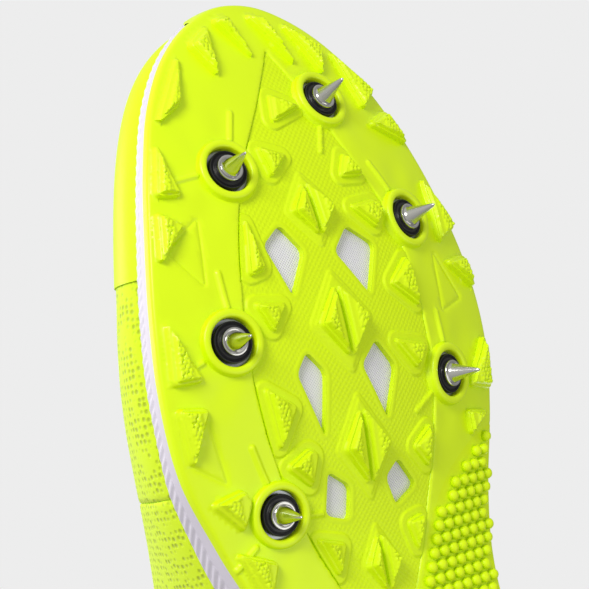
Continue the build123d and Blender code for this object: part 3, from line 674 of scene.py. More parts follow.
# ------------------------------------------------------------------------------------------------------------
# Outsole: plate, web, backing and rear tread
# ------------------------------------------------------------------------------------------------------------
@dataclass
class Outsole:
    """Everything moulded under the foot."""

    plate_thickness: float = 2.0
    web_recess: float = 0.5
    pad_height: float = 0.6
    pad_corner: float = 1.4
    pair_corner_share: float = 0.7
    lug_height: float = 2.6
    lug_corner: float = 1.05
    flank_rings: tuple = (-0.55, -0.35, -0.18, -0.05, 0.3, 0.5, 0.7)
    window_corner: float = 1.6
    boss_radius: float = 7.0
    boss_height: float = 1.3
    hole_radius: float = 5.15
    edge_round: float = 0.7
    knurl_pitch: float = 1.0
    knurl_height: float = 0.15
    nub_radius: float = 1.3
    nub_pitch: float = 3.2
    lug_radius: float = 2.9
    lug_pitch: float = 7.6
    lug_margin: float = 4.6
    lug_zone: tuple = (200.0, 258.0)
    web_medial: tuple = (
        (4.0, 12.0), (-5.0, 24.5), (-14.0, 37.0), (-21.0, 51.5), (-25.0, 67.0), (-26.5, 84.0),
        (-24.5, 101.0), (-19.0, 117.0), (-12.0, 132.0), (-4.0, 146.0),
    )
    web_lateral: tuple = (
        (-4.0, 146.0), (7.0, 133.0), (14.0, 119.0), (19.5, 104.0), (23.0, 88.0), (23.5, 72.0),
        (21.0, 52.0), (15.0, 38.0), (8.5, 22.0), (4.0, 12.0),
    )
    rear_edge: tuple = (
        (60.0, 103.0), (38.0, 104.0), (24.0, 111.0), (15.5, 120.0), (7.5, 135.0), (-3.0, 149.0),
        (-18.0, 161.0), (-60.0, 172.0),
    )
    windows: tuple = (
        ((-11.0, 52.0), (-6.5, 58.5), (-12.5, 68.0), (-16.5, 56.0)),
        ((7.0, 54.0), (14.0, 59.0), (8.5, 70.0), (1.5, 59.5)),
        ((-12.5, 79.5), (-8.5, 84.5), (-11.5, 98.0), (-16.0, 84.0)),
        ((7.0, 79.5), (11.5, 86.0), (6.5, 97.0), (1.5, 84.5)),
        ((-12.0, 105.0), (-6.5, 109.0), (-8.0, 116.0), (-14.0, 114.0)),
        ((8.0, 105.5), (12.5, 112.0), (5.5, 115.5), (3.5, 109.0)),
    )
    diamond_x: float = -1.5
    diamonds: tuple = ((49.5, 9.0, 7.4), (74.5, 11.8, 9.0), (101.5, 12.0, 8.0), (126.5, 9.0, 5.6))
    pair_gap: float = 1.3
    pair_length: float = 0.63
    pair_width: float = 0.66
    web_lugs: tuple = (
        ((-1.5, 22.5), (5.5, 26.0), (-3.5, 29.0)),
        ((-10.5, 34.5), (-3.5, 37.0), (-9.5, 41.5)),
        ((-19.5, 50.0), (-18.0, 61.0), (-22.5, 62.0)),
        ((-23.0, 68.0), (-15.5, 69.0), (-20.0, 74.5)),
        ((-25.0, 85.5), (-18.0, 90.5), (-23.5, 98.5)),
        ((-22.5, 102.5), (-16.5, 99.5), (-14.5, 101.0), (-17.0, 107.5)),
        ((-17.5, 118.5), (-10.5, 120.5), (-13.5, 127.0)),
        ((13.0, 37.5), (16.5, 43.0), (9.5, 43.0)),
        ((9.5, 50.0), (17.5, 49.0), (18.5, 51.5), (15.5, 55.5)),
        ((15.0, 68.0), (22.0, 62.5), (22.5, 74.0)),
        ((12.0, 80.5), (21.5, 82.5), (17.5, 87.5)),
        ((12.5, 104.0), (18.5, 100.0), (16.5, 109.0)),
        ((7.5, 119.5), (12.5, 118.5), (9.5, 126.0)),
    )
    plate_lugs: tuple = (
        ((-16.0, 9.0), (-9.5, 5.0), (-12.5, 17.0)),
        ((-7.0, 3.5), (-3.0, 2.5), (-1.0, 13.0)),
        ((3.0, 2.5), (7.0, 3.0), (10.0, 15.0)),
        ((12.5, 5.0), (20.0, 11.0), (17.5, 18.0)),
        ((-20.5, 12.0), (-24.5, 22.5), (-31.5, 26.5)),
        ((-34.0, 31.5), (-32.5, 43.0), (-38.0, 42.5)),
        ((-39.0, 46.0), (-34.0, 49.5), (-41.5, 56.5)),
        ((-43.5, 69.0), (-38.5, 81.5), (-45.0, 81.5)),
        ((-45.0, 86.5), (-38.5, 87.5), (-43.5, 98.0)),
        ((-40.5, 106.5), (-33.5, 105.0), (-32.0, 107.5), (-34.5, 113.0)),
        ((-36.5, 117.5), (-28.0, 121.0), (-31.5, 129.0)),
        ((-29.0, 137.0), (-21.0, 139.0), (-25.5, 148.0)),
        ((23.5, 12.5), (31.5, 23.0), (26.0, 27.0)),
        ((26.0, 31.0), (33.0, 28.0), (36.5, 36.0)),
        ((37.5, 45.0), (43.5, 57.0), (36.5, 60.0)),
        ((37.0, 65.0), (44.0, 64.0), (45.5, 71.5)),
        ((44.5, 83.0), (43.5, 95.0), (35.5, 93.5)),
        ((33.0, 99.0), (40.5, 100.0), (33.5, 104.5)),
    )
    ribs: tuple = (
        ((-13.3, 26.0), (-16.0, 32.0)),
        ((-34.0, 39.9), (-27.0, 39.1)),
        ((-29.2, 60.4), (-29.2, 67.8)),
        ((-41.5, 79.5), (-37.5, 78.0)),
        ((-29.8, 97.0), (-27.6, 104.5)),
        ((-32.0, 117.0), (-37.2, 120.7)),
        ((-18.0, 113.1), (-15.1, 113.4)),
        ((20.5, 40.3), (23.8, 46.8)),
        ((28.4, 75.7), (28.5, 82.5)),
        ((22.0, 93.2), (15.8, 96.6)),
        ((10.0, 31.0), (7.2, 36.7)),
    )
    rib_radius: float = 0.5
    rib_height: float = 0.55
    platform_reach: float = 2.3
    platform_height: float = 0.5
    engraved: tuple = (
        ((-30.0, 48.2), (-32.6, 62.9), (-39.0, 54.3)),
        ((-38.7, 89.0), (-36.1, 103.3), (-44.0, 97.8)),
        ((33.0, 62.0), (39.5, 73.5), (31.0, 76.0)),
    )
    spikes: list = field(default_factory=list)

    def __post_init__(self) -> None:
        """Works out the outlines and the spikes' places."""
        for joint in frame["joints"]:
            if joint["name"].startswith("spike_turn_"):
                self.spikes.append(Vector(joint["pos_m"]) / MM)
        self.centres = np.array([(p.x, p.y + HALF_LENGTH) for p in self.spikes])
        self.outline = FORM.outline()
        self.web = np.vstack(
            [smooth_line(self.web_medial, 0.7, False)[:-1], smooth_line(self.web_lateral, 0.7, False)[:-1]]
        )
        self.rear = smooth_line(self.rear_edge, 0.8, False)
        self.openings = [rounded(w, self.window_corner) for w in self.windows]
        self.front = np.vstack([self.rear, [(-60.0, -10.0), (60.0, -10.0)]])
        self.pads = [self.diamond(*sizes) for sizes in self.diamonds]

    def diamond(self, centre: float, length: float, width: float) -> Points:
        """Outline of a centre diamond, from its centre, half length and half width."""
        x = self.diamond_x
        corners = [(x, centre - length), (x + width, centre), (x, centre + length), (x - width, centre)]
        return rounded(corners, self.pad_corner)

    def pair_lugs(self) -> list[Points]:
        """The two triangular lugs on each centre diamond."""
        found = []
        for centre, length, width in self.diamonds:
            for side in (-1, 1):
                inner = self.diamond_x + side * self.pair_gap / 2
                outer = inner + side * (width * self.pair_width)
                reach = length * self.pair_length
                corners = [(inner, centre - reach), (outer, centre), (inner, centre + reach)][::side]
                found.append(rounded(corners, self.lug_corner * self.pair_corner_share))
        return found

    def lug_relief(self, points: Points, lugs: list[Points], height: float, axis_x: float) -> Points:
        """Relief of the lugs: stepped flanks and a top that slopes to the middle, grained on the high half.

        Args:
            points: places (x, t).
            lugs: the lugs' outlines.
            height: their full height.
            axis_x: the line that their tops slope down to.

        Returns:
            The relief's height at each point.
        """
        relief = np.zeros(len(points))
        for number, lug in enumerate(lugs):
            low, high = lug.min(0) - 1.0, lug.max(0) + 1.0
            near = ((points > low) & (points < high)).all(1)
            if not near.any():
                continue
            part = points[near]
            inside = signed_distance(part, lug)
            outward = np.sign(lug[:, 0].mean() - axis_x)
            reach = (part[:, 0] - axis_x) * outward
            ends = (lug[:, 0] - axis_x) * outward
            share = np.clip((reach - ends.min()) / max(ends.max() - ends.min(), 1.0), 0, 1)
            foot = ease((inside + 0.55) / 0.5)
            ledge = ease((inside - 0.35) / 0.3)
            top = height * (0.72 + 0.28 * share)
            profile = top * (0.62 * foot + 0.38 * ledge)
            grain = 0.5 * beads(part, 1.05, number) * ease((share - 0.28) / 0.2) * ease((inside - 0.6) / 0.2)
            grain *= ease((signed_distance(part, self.outline) - 0.7) / 0.5)
            relief[near] = np.maximum(relief[near], profile + grain)
        return relief

    def bar_relief(self, points: Points) -> Points:
        """Relief of the short round-topped bars that run from the bosses."""
        relief = np.zeros(len(points))
        for start, end in self.ribs:
            start, end = np.array(start), np.array(end)
            run = end - start
            share = np.clip(((points - start) @ run) / (run @ run), 0, 1)
            gap = np.linalg.norm(points - start - share[:, None] * run, axis=1)
            relief = np.maximum(relief, self.rib_height * ease((self.rib_radius + 0.35 - gap) / 0.6))
        return relief

    def plate_relief(self, points: Points) -> Points:
        """Relief of the spike plate at points (x, t)."""
        relief = self.lug_relief(points, self.plate_outlines, self.lug_height, 0.0)
        relief = np.maximum(relief, self.bar_relief(points))
        for triangle in self.engraved:
            loop = rounded(triangle, 1.0)
            near = (np.abs(points - loop.mean(0)) < 12).all(1)
            gap = np.abs(signed_distance(points[near], loop)) if near.any() else np.zeros(0)
            relief[near] -= 0.3 * np.exp(-((gap / 0.35) ** 2))
        for number, centre in enumerate(self.centres):
            offset = points - centre
            gap, angle = np.linalg.norm(offset, axis=1), np.arctan2(offset[:, 1], offset[:, 0])
            fold = 0.14 * np.sin(7 * angle + number) * ease((gap - 7) / 3) * (1 - ease((gap - 11) / 7))
            relief += fold
        edge = np.minimum(signed_distance(points, self.outline), 50.0)
        edge = np.minimum(edge, np.abs(signed_distance(points, self.web)))
        depth = np.clip(self.edge_round - edge, 0, self.edge_round)
        return relief - (self.edge_round - np.sqrt(np.maximum(self.edge_round**2 - depth**2, 0)))

    def web_relief(self, points: Points) -> Points:
        """Relief of the grip web at points (x, t)."""
        relief = np.zeros(len(points))
        calm = np.ones(len(points))
        for pad in self.pads:
            inside = signed_distance(points, pad)
            step = 0.55 * ease((inside + 0.3) / 0.5) + 0.45 * ease((inside - 0.7) / 0.5)
            relief = np.maximum(relief, self.pad_height * step)
            calm = np.minimum(calm, 1 - ease((inside + 0.8) / 0.5))
        relief = np.maximum(relief, self.bar_relief(points))
        for lug in self.web_outlines:
            inside = signed_distance(points, lug)
            relief = np.maximum(relief, self.platform_height * ease((inside + self.platform_reach) / 0.5))
            calm = np.minimum(calm, 1 - ease((inside + self.platform_reach + 0.5) / 0.4))
        rim = np.zeros(len(points))
        for window in self.openings:
            gap = -signed_distance(points, window)
            rim = np.maximum(rim, 0.12 * ease((1.4 - gap) / 0.5))
            relief -= 0.35 * (1 - ease(gap / 0.4))
            calm = np.minimum(calm, ease((gap - 1.0) / 0.6))
        lugs = self.lug_relief(points, self.web_outlines, self.lug_height, self.diamond_x)
        pairs = self.lug_relief(points, self.pair_outlines, self.pad_height + self.lug_height, self.diamond_x)
        relief = np.maximum(np.maximum(relief + rim, lugs), pairs)
        u, v = (points[:, 0] + points[:, 1]) / math.sqrt(2), (points[:, 0] - points[:, 1]) / math.sqrt(2)
        pitch = self.knurl_pitch
        knurl = (0.5 + 0.5 * np.cos(2 * np.pi * u / pitch)) * (0.5 + 0.5 * np.cos(2 * np.pi * v / pitch))
        calm = calm * (1 - ease(np.maximum(lugs, pairs) / 0.4))
        return relief + self.knurl_height * knurl * calm

    def patch(self, name: str, loops: list[Points], loose: Points, inside: Callable, relief: Callable,
              recess: float, wall: float, finish: Finish) -> bpy.types.Object:
        """Makes one moulded layer of the sole.

        Args:
            name: the piece's name.
            loops: the outlines that its edges follow.
            loose: further corners for its relief.
            inside: tells which places (x, t) belong to it.
            relief: height of its relief at places (x, t).
            recess: how far above the sole's underside its ground lies.
            wall: how high its edges' walls reach above the underside.
            finish: its material.

        Returns:
            The object.
        """
        flat, triangles = triangulate(loops, loose)
        triangles = triangles[inside(flat[triangles].mean(1))]
        used, triangles = np.unique(triangles, return_inverse=True)
        triangles = triangles.reshape(-1, 3)
        flat = flat[used]
        ground = FORM.underside(flat)
        lower = FORM.place(flat, ground + recess - relief(flat))
        upper = FORM.place(flat, ground + wall)
        directed = np.vstack([triangles[:, [0, 1]], triangles[:, [1, 2]], triangles[:, [2, 0]]])
        known = {(int(a), int(b)) for a, b in directed}
        count = len(flat)
        walls = [(a, b, b + count, a + count) for a, b in known if (b, a) not in known]
        faces = [tuple(t[::-1]) for t in triangles] + walls
        made = make_object(name, np.vstack([lower, upper]), faces, finish.material())
        build = bmesh.new()
        build.from_mesh(made.data)
        bmesh.ops.delete(build, geom=[v for v in build.verts if not v.link_faces], context="VERTS")
        for edge in build.edges:
            edge.smooth = len(edge.link_faces) == 2 and edge.calc_face_angle(0.0) < math.radians(62)
        build.to_mesh(made.data)
        build.free()
        return made

    def boss(self, place: Vector, outward: Vector) -> tuple[list, list]:
        """Corners and faces of the round boss at one spike, in metres."""
        h, r = self.boss_height, self.boss_radius
        hole = self.hole_radius
        outside = [(0.5, -0.9), (0.22, -0.1), (0.05, 0.15), (0.0, 0.6), (-0.12, 1.0), (-0.4, h)]
        inside = [(0.75, h + 0.04), (0.4, h - 0.03), (0.15, h - 0.2), (0.0, h - 0.5), (0.0, -1.2)]
        profile = [(r + out, height) for out, height in outside]
        profile += [(hole + out, height) for out, height in inside]
        return revolved(profile, place, outward, 72)

    def build_plate(self) -> bpy.types.Object:
        """Makes the spike plate with its bosses and its lip over the toe."""
        self.plate_outlines = [rounded(c, self.lug_corner) for c in self.plate_lugs]
        circles = [circle_round(c, self.boss_radius - 0.3, 48) for c in self.centres]
        loose = [rings_round(lug, self.flank_rings, 0.5) for lug in self.plate_outlines]
        loose += [grid_in(lug, 0.24, 0.8) for lug in self.plate_outlines]
        loose += [rings_round(rounded(c, 1.0), (-0.5, -0.2, 0.0, 0.2, 0.5), 0.6) for c in self.engraved]
        loose.append(rings_round(self.outline, (0.15, 0.35, 0.7), 0.8))
        loose.append(rings_round(self.web, (-0.1, -0.35, -0.7), 0.8))
        for start, end in self.ribs:
            middle = (np.array(start) + np.array(end)) / 2
            half = math.dist(start, end) / 2 + self.rib_radius + 0.5
            loose.append(grid_in(circle_round(middle, half, 24), 0.3))
        loose.append(grid_in(self.outline, 1.1, 0.9))
        loose = np.vstack(loose)
        outer = signed_distance(loose, self.outline) > 0.05
        clear = signed_distance(loose, self.front) > 0.1
        loose = loose[outer & clear & (signed_distance(loose, self.web) < -0.05)]

        def inside(places: Points) -> Points:
            """Whether places belong to the plate."""
            ring = np.min([np.linalg.norm(places - c, axis=1) for c in self.centres], axis=0)
            kept = (signed_distance(places, self.outline) > 0) & (signed_distance(places, self.web) < 0)
            return kept & (signed_distance(places, self.front) > 0) & (ring > self.boss_radius - 0.3)

        made = self.patch("spike_plate_tpu", [self.outline, self.web, self.front, *circles], loose, inside,
                          self.plate_relief, 0.0, self.plate_thickness, PLATE_TPU)
        corners, faces = [], []
        for joint in (j for j in frame["joints"] if j["name"].startswith("spike_turn_")):
            more, rings = self.boss(Vector(joint["pos_m"]), Vector(joint["axis"]))
            faces += [tuple(i + len(corners) for i in f) for f in rings]
            corners += more
        bosses = make_object("bosses", corners, faces, PLATE_TPU.material())
        return joined(made, bosses, self.toe_lip())

    def toe_lip(self) -> bpy.types.Object:
        """The plate's lip up over the toe of the midsole."""
        line = FORM.outline(0.8)
        line = np.roll(line, len(line) // 2, axis=0)
        keep = self.lip_top(line) > FORM.underside(line) + 2.3
        line = line[keep & (line[:, 1] < 42)]
        order = np.argsort(np.arctan2(line[:, 0] - 1.0, 45.0 - line[:, 1]))
        line = line[order]
        rows = 14
        bottom, top = FORM.underside(line) + 0.7, self.lip_top(line)
        centre = np.array([0.0, 60.0])
        inward = centre - line
        inward /= np.linalg.norm(inward, axis=1)[:, None]
        corners = []
        for row in range(rows + 1):
            share = row / rows
            swell = 0.25 * math.sin(math.pi * share)
            tuck = 13.0 * max(share - 0.9, 0)
            height = bottom + (top - bottom) * min(share / 0.95, 1)
            corners.append(FORM.place(line - inward * (swell - tuck), height))
        width = len(line)
        faces = [
            (r * width + i, r * width + i + 1, (r + 1) * width + i + 1, (r + 1) * width + i)
            for r in range(rows)
            for i in range(width - 1)
        ]
        return make_object("toe_lip", np.vstack(corners), faces, PLATE_TPU.material())

    def lip_top(self, line: Points) -> Points:
        """Height of the lip's upper edge, which runs out early on the medial side."""
        return between(FORM.bumper_line, line[:, 1]) - 1.3 * np.maximum(-8.0 - line[:, 0], 0)

    def build_web(self) -> bpy.types.Object:
        """Makes the grip web with its diamonds, lugs, windows and fine knurl."""
        self.web_outlines = [rounded(c, self.lug_corner) for c in self.web_lugs]
        self.pair_outlines = self.pair_lugs()
        circles = [circle_round(c, self.boss_radius - 0.3, 48) for c in self.centres]
        lugs = self.web_outlines + self.pair_outlines
        loose = [rings_round(lug, self.flank_rings, 0.45) for lug in lugs]
        loose += [grid_in(lug, 0.24, 0.8) for lug in lugs]
        loose += [rings_round(pad, (-0.3, 0.0, 0.2, 0.7, 0.95, 1.2), 0.6) for pad in self.pads]
        loose += [rings_round(w, (-0.12, -0.25, -0.4, -0.9, -1.4), 0.5) for w in self.openings]
        loose += [rings_round(lug, (-2.3, -2.05, -1.8), 0.6) for lug in self.web_outlines]
        knurl = grid_in(self.web, self.knurl_pitch / 4, 0.1, 45.0)
        for lug in lugs:
            knurl = knurl[signed_distance(knurl, lug) < -0.6]
        for pad in self.pads:
            inside_pad = signed_distance(knurl, pad)
            every = (np.arange(len(knurl)) % 6) == 0
            knurl = knurl[(inside_pad < -0.4) | every]
        loose = np.vstack([*loose, knurl])
        kept = signed_distance(loose, self.web) > 0.05
        for window in self.openings:
            kept &= signed_distance(loose, window) < -0.05
        loose = loose[kept]

        def inside(places: Points) -> Points:
            """Whether places belong to the web."""
            ring = np.min([np.linalg.norm(places - c, axis=1) for c in self.centres], axis=0)
            found = (signed_distance(places, self.web) > 0) & (ring > self.boss_radius - 0.3)
            for window in self.openings:
                found &= signed_distance(places, window) < 0
            return found

        return self.patch("grip_web_tpu", [self.web, *self.openings, *circles], loose, inside,
                          self.web_relief, self.web_recess, self.plate_thickness, WEB_TPU)

    def build_backing(self) -> bpy.types.Object:
        """Makes the woven backing that shows in the windows."""
        flat, triangles = triangulate([self.web], grid_in(self.web, 1.0, 0.4))
        triangles = triangles[signed_distance(flat[triangles].mean(1), self.web) > 0]
        height = FORM.underside(flat) + self.plate_thickness - 0.05
        corners = FORM.place(flat, height)
        made = make_object("woven_backing", corners, triangles[:, ::-1], BACKING_WEAVE.material())
        return made

    def build_tread(self) -> bpy.types.Object:
        """Makes the rear tread's ground; its lugs and nubs are added in build_outsole, the nubs with nodes.
        """
        edge = rings_round(self.outline, (0.15, 0.35, 0.7), 0.9)
        loose = np.vstack([grid_in(self.outline, 1.6, 1.0), edge])
        loose = loose[signed_distance(loose, self.front) < -0.1]

        def inside(places: Points) -> Points:
            """Whether places belong to the tread."""
            return (signed_distance(places, self.outline) > 0) & (signed_distance(places, self.front) < 0)

        def relief(places: Points) -> Points:
            """A rounded edge."""
            depth = np.clip(self.edge_round - signed_distance(places, self.outline), 0, self.edge_round)
            return -(self.edge_round - np.sqrt(np.maximum(self.edge_round**2 - depth**2, 0)))

        return self.patch("rear_tread_rubber", [self.outline, self.front], loose, inside, relief, 0.0,
                          self.plate_thickness, TREAD_RUBBER)

    def lug_places(self) -> Points:
        """Centres of the heel's round lugs."""
        row_step = self.lug_pitch * math.sqrt(3) / 2
        found = []
        for row in range(int((self.lug_zone[1] - self.lug_zone[0]) / row_step) + 1):
            t = self.lug_zone[0] + row * row_step
            low = float(between(FORM.stations, np.array(t), 1)) + self.lug_margin
            high = float(between(FORM.stations, np.array(t), 2)) - self.lug_margin
            shift = self.lug_pitch / 2 if row % 2 else 0.0
            count = int((high - low - shift) / self.lug_pitch) + 1
            found += [(low + shift + i * self.lug_pitch, t) for i in range(count)]
        return np.array(found)

    def nub_places(self) -> Points:
        """Centres of the fine round nubs, in the midfoot field and round the heel's lugs."""
        step = self.nub_pitch
        rows = np.arange(100.0, 280.0, step * math.sqrt(3) / 2)
        columns = np.arange(-60.0, 60.0, step)
        shifts = [step / 2 if i % 2 else 0.0 for i in range(len(rows))]
        places = np.array([(x + shift, t) for t, shift in zip(rows, shifts, strict=True) for x in columns])
        kept = (signed_distance(places, self.outline) > 1.5) & (signed_distance(places, self.front) < -1.6)
        for lug in self.lug_places():
            kept &= np.linalg.norm(places - lug, axis=1) > self.lug_radius + self.nub_radius + 0.3
        return places[kept]


def circle_round(centre: Points, radius: float, count: int) -> Points:
    """Points of a circle."""
    turn = np.linspace(0, 2 * math.pi, count, endpoint=False)
    return np.stack([centre[0] + radius * np.cos(turn), centre[1] + radius * np.sin(turn)], axis=1)


def hoop_faces(rings: int, count: int) -> list[tuple]:
    """Faces between neighbouring closed rings that have count corners each."""
    return [
        (r * count + i, r * count + after, (r + 1) * count + after, (r + 1) * count + i)
        for r in range(rings - 1)
        for i, after in ((i, (i + 1) % count) for i in range(count))
    ]


def revolved(profile: Sequence[tuple], place: Vector, outward: Vector, count: int) -> tuple[list, list]:
    """Corners and faces of a profile turned about an axis.

    Args:
        profile: (radius, height along the axis) in millimetres.
        place: the axis's origin, in metres.
        outward: its direction.
        count: steps round it.

    Returns:
        The corners in metres and the faces, which point away from the axis where the profile climbs inwards.
    """
    turn = outward.normalized().to_track_quat("Z", "X").to_matrix()
    corners = []
    for radius, height in profile:
        for i in range(count):
            angle = 2 * math.pi * i / count
            local = Vector((radius * math.cos(angle), radius * math.sin(angle), height)) * MM
            corners.append(tuple(place + turn @ local))
    return corners, hoop_faces(len(profile), count)


def joined(first: bpy.types.Object, *others: bpy.types.Object) -> bpy.types.Object:
    """Joins objects into the first, which keeps its name and finish."""
    build = bmesh.new()
    for part in (first, *others):
        build.from_mesh(part.data)
    build.to_mesh(first.data)
    build.free()
    for other in others:
        mesh = other.data
        bpy.data.objects.remove(other)
        bpy.data.meshes.remove(mesh)
    return first


# ------------------------------------------------------------------------------------------------------------
# What repeats, by Geometry Nodes
# ------------------------------------------------------------------------------------------------------------
class Repeat:
    """A node tree that puts one small shape at each point of a mesh, turned to the point's own direction."""

    def __init__(self, name: str, shape: Callable, material: bpy.types.Material) -> None:
        """Builds the tree.

        Args:
            name: the tree's name.
            shape: adds the shape's nodes to the tree and returns its geometry socket.
            material: the finish of every copy.
        """
        tree = bpy.data.node_groups.new(name, "GeometryNodeTree")
        face = tree.interface
        face.new_socket("Geometry", in_out="INPUT", socket_type="NodeSocketGeometry")
        self.size = face.new_socket("Size", in_out="INPUT", socket_type="NodeSocketFloat").identifier
        face.new_socket("Geometry", in_out="OUTPUT", socket_type="NodeSocketGeometry")
        source = add_node(tree, "NodeGroupInput")
        kind, vector = "GeometryNodeInputNamedAttribute", {"data_type": "FLOAT_VECTOR"}
        towards = add_node(tree, kind, vector, {"Name": "towards"})
        along = add_node(tree, kind, vector, {"Name": "along"})
        upright = add_node(
            tree, "FunctionNodeAlignRotationToVector", {"axis": "Z"}, {"Vector": towards.outputs["Attribute"]}
        )
        turned = add_node(
            tree,
            "FunctionNodeAlignRotationToVector",
            {"axis": "X", "pivot_axis": "Z"},
            {"Rotation": upright.outputs["Rotation"], "Vector": along.outputs["Attribute"]},
        )
        copies = add_node(
            tree,
            "GeometryNodeInstanceOnPoints",
            None,
            {
                "Points": source.outputs["Geometry"],
                "Instance": shape(tree),
                "Rotation": turned.outputs["Rotation"],
                "Scale": source.outputs["Size"],
            },
        )
        real = add_node(tree, "GeometryNodeRealizeInstances", None, {"Geometry": copies.outputs["Instances"]})
        smooth = add_node(tree, "GeometryNodeSetShadeSmooth", None, {"Geometry": real.outputs["Geometry"]})
        painted = add_node(
            tree,
            "GeometryNodeSetMaterial",
            None,
            {"Geometry": smooth.outputs["Geometry"], "Material": material},
        )
        add_node(tree, "NodeGroupOutput", None, {"Geometry": painted.outputs["Geometry"]})
        self.tree = tree

    def place(
        self, name: str, points: Points, towards: Points, along: Points, size: float
    ) -> bpy.types.Object:
        """Makes the copies.

        Args:
            name: the piece's name.
            points: their places, in metres.
            towards: the direction that each one's own Z takes.
            along: the direction that each one's own X takes.
            size: their size, in metres.

        Returns:
            A plain mesh object.
        """
        mesh = bpy.data.meshes.new(name)
        mesh.from_pydata([tuple(map(float, p)) for p in points], [], [])
        for key, values in (("towards", towards), ("along", along)):
            attribute = mesh.attributes.new(key, "FLOAT_VECTOR", "POINT")
            attribute.data.foreach_set("vector", np.asarray(values, np.float32).ravel())
        made = bpy.data.objects.new(name, mesh)
        bpy.context.scene.collection.objects.link(made)
        modifier = made.modifiers.new(name, "NODES")
        modifier.node_group = self.tree
        modifier[self.size] = size
        return evaluated(made)


def dome_shape(tree: Any) -> Any:
    """A low domed nub of radius 1 whose foot is below its point."""
    ball = add_node(tree, "GeometryNodeMeshUVSphere", None, {"Segments": 12, "Rings": 8, "Radius": 1.0})
    return add_node(
        tree,
        "GeometryNodeTransform",
        None,
        {"Geometry": ball.outputs["Mesh"], "Translation": (0.0, 0.0, 0.45), "Scale": (1.0, 1.0, 0.85)},
    ).outputs["Geometry"]


def form_directions(places: Points) -> Points:
    """Downward directions square to the sole's underside at places (x, t)."""
    step = 0.5
    slope_x = (FORM.underside(places + (step, 0)) - FORM.underside(places - (step, 0))) / (2 * step)
    slope_t = (FORM.underside(places + (0, step)) - FORM.underside(places - (0, step))) / (2 * step)
    down = np.stack([slope_x, slope_t, -np.ones(len(places))], axis=1)
    return down / np.linalg.norm(down, axis=1)[:, None]


def build_outsole() -> None:
    """Makes, dresses and settles the bottom pieces."""
    outsole = Outsole()
    settle(outsole.build_plate(), "shoe", ["spike_plate"])
    settle(outsole.build_web(), "shoe", ["grip_web"])
    backing = outsole.build_backing()
    settle(backing, "shoe", ["plate_backing"])
    tread = outsole.build_tread()
    nubs = Repeat("tread_nubs", dome_shape, TREAD_RUBBER.material())
    places = outsole.nub_places()
    points = FORM.place(places, FORM.underside(places))
    side = np.tile((1.0, 0.0, 0.0), (len(places), 1))
    field_nubs = nubs.place("tread_fine_nubs", points, form_directions(places), side, outsole.nub_radius * MM)
    lugs = outsole.lug_places()
    corners, faces = [], []
    r, top = outsole.lug_radius, FORM.heel_height
    profile = [(r + 0.4, -0.3), (r + 0.05, 0.15), (r, 0.4), (r - 0.05, top - 0.35), (r - 0.3, top)]
    profile += [(r * 0.55, top), (r * 0.45, top - 0.25), (0.01, top - 0.25)]
    for x, t in lugs:
        place = Vector((x, t - HALF_LENGTH, float(FORM.underside(np.array([[x, t]]))[0]))) * MM
        more, rings = revolved(profile, place, Vector((0, 0, -1)), 28)
        faces += [tuple(i + len(corners) for i in f) for f in rings]
        corners += more
    heel_lugs = make_object("heel_lugs", corners, faces, TREAD_RUBBER.material())
    settle(joined(tread, heel_lugs), "shoe", ["rear_tread"])
    settle(field_nubs, "shoe")


# ------------------------------------------------------------------------------------------------------------
# Spikes
# ------------------------------------------------------------------------------------------------------------
@dataclass
class SpikeSet:
    """The insert, the washer and the screw of each spike."""

    sides: int = 64
    insert_profile: tuple = (
        (3.55, -2.6), (3.6, -1.2), (3.75, -0.82), (5.0, -0.8), (5.12, -0.92), (5.15, -1.6), (5.15, -2.6),
    )
    spike_profile: tuple = (
        (2.5, -4.2), (2.5, 0.8), (2.75, 0.8), (2.94, 0.86), (3.0, 1.0), (3.0, 1.5), (2.92, 1.7), (2.7, 1.8),
        (2.5, 1.76), (2.3, 1.7), (2.15, 1.84), (2.0, 2.3), (1.2, 5.0), (0.5, 7.9), (0.34, 8.4), (0.2, 8.7),
        (0.02, 8.8),
    )

    def washer(self) -> list[tuple]:
        """The washer's profile: a flat ring with fine concentric grooves."""
        inner, outer, thick, grooves = 2.55, 4.4, 0.8, 3
        profile = [(outer, 0.02), (outer, thick - 0.2), (outer - 0.1, thick - 0.04)]
        step = (outer - 0.25 - 3.55) / grooves
        for i in range(grooves):
            r = outer - 0.25 - i * step
            profile += [(r, thick), (r - step * 0.45, thick - 0.12), (r - step * 0.75, thick - 0.12)]
        return profile + [(3.5, thick), (inner, thick), (inner, 0.02), (outer, 0.02)]

    def build(self) -> None:
        """Makes all six sets."""
        for joint in (j for j in frame["joints"] if j["name"].startswith("spike_turn_")):
            number = joint["name"].rsplit("_", 1)[1]
            axis = (Vector(joint["pos_m"]), Vector(joint["axis"]))
            insert = self.ring(f"insert_{number}", self.insert_profile[::-1], axis, INSERT_STEEL)
            settle(insert, "shoe", [f"receptacle_{number}"])
            washer = self.ring(f"rubber_washer_{number}", self.washer(), axis, WASHER_RUBBER)
            settle(washer, f"washer_carrier_{number}", [f"washer_{number}"])
            spike = self.ring(f"screw_spike_{number}", self.spike_profile, axis, SPIKE_STEEL)
            settle(spike, f"screw_{number}", [f"spike_{number}"])

    def ring(
        self, name: str, profile: Sequence[tuple], axis: tuple[Vector, Vector], finish: Finish
    ) -> bpy.types.Object:
        """Makes one turned piece.

        Args:
            name: the piece's name.
            profile: (radius, height) in millimetres.
            axis: the spike's origin in metres, and its direction.
            finish: its material.

        Returns:
            The piece.
        """
        corners, faces = revolved(profile, *axis, self.sides)
        made = make_object(name, corners, faces, finish.material())
        build = bmesh.new()
        build.from_mesh(made.data)
        for edge in build.edges:
            edge.smooth = len(edge.link_faces) == 2 and edge.calc_face_angle(0.0) < math.radians(38)
        build.to_mesh(made.data)
        build.free()
        return made


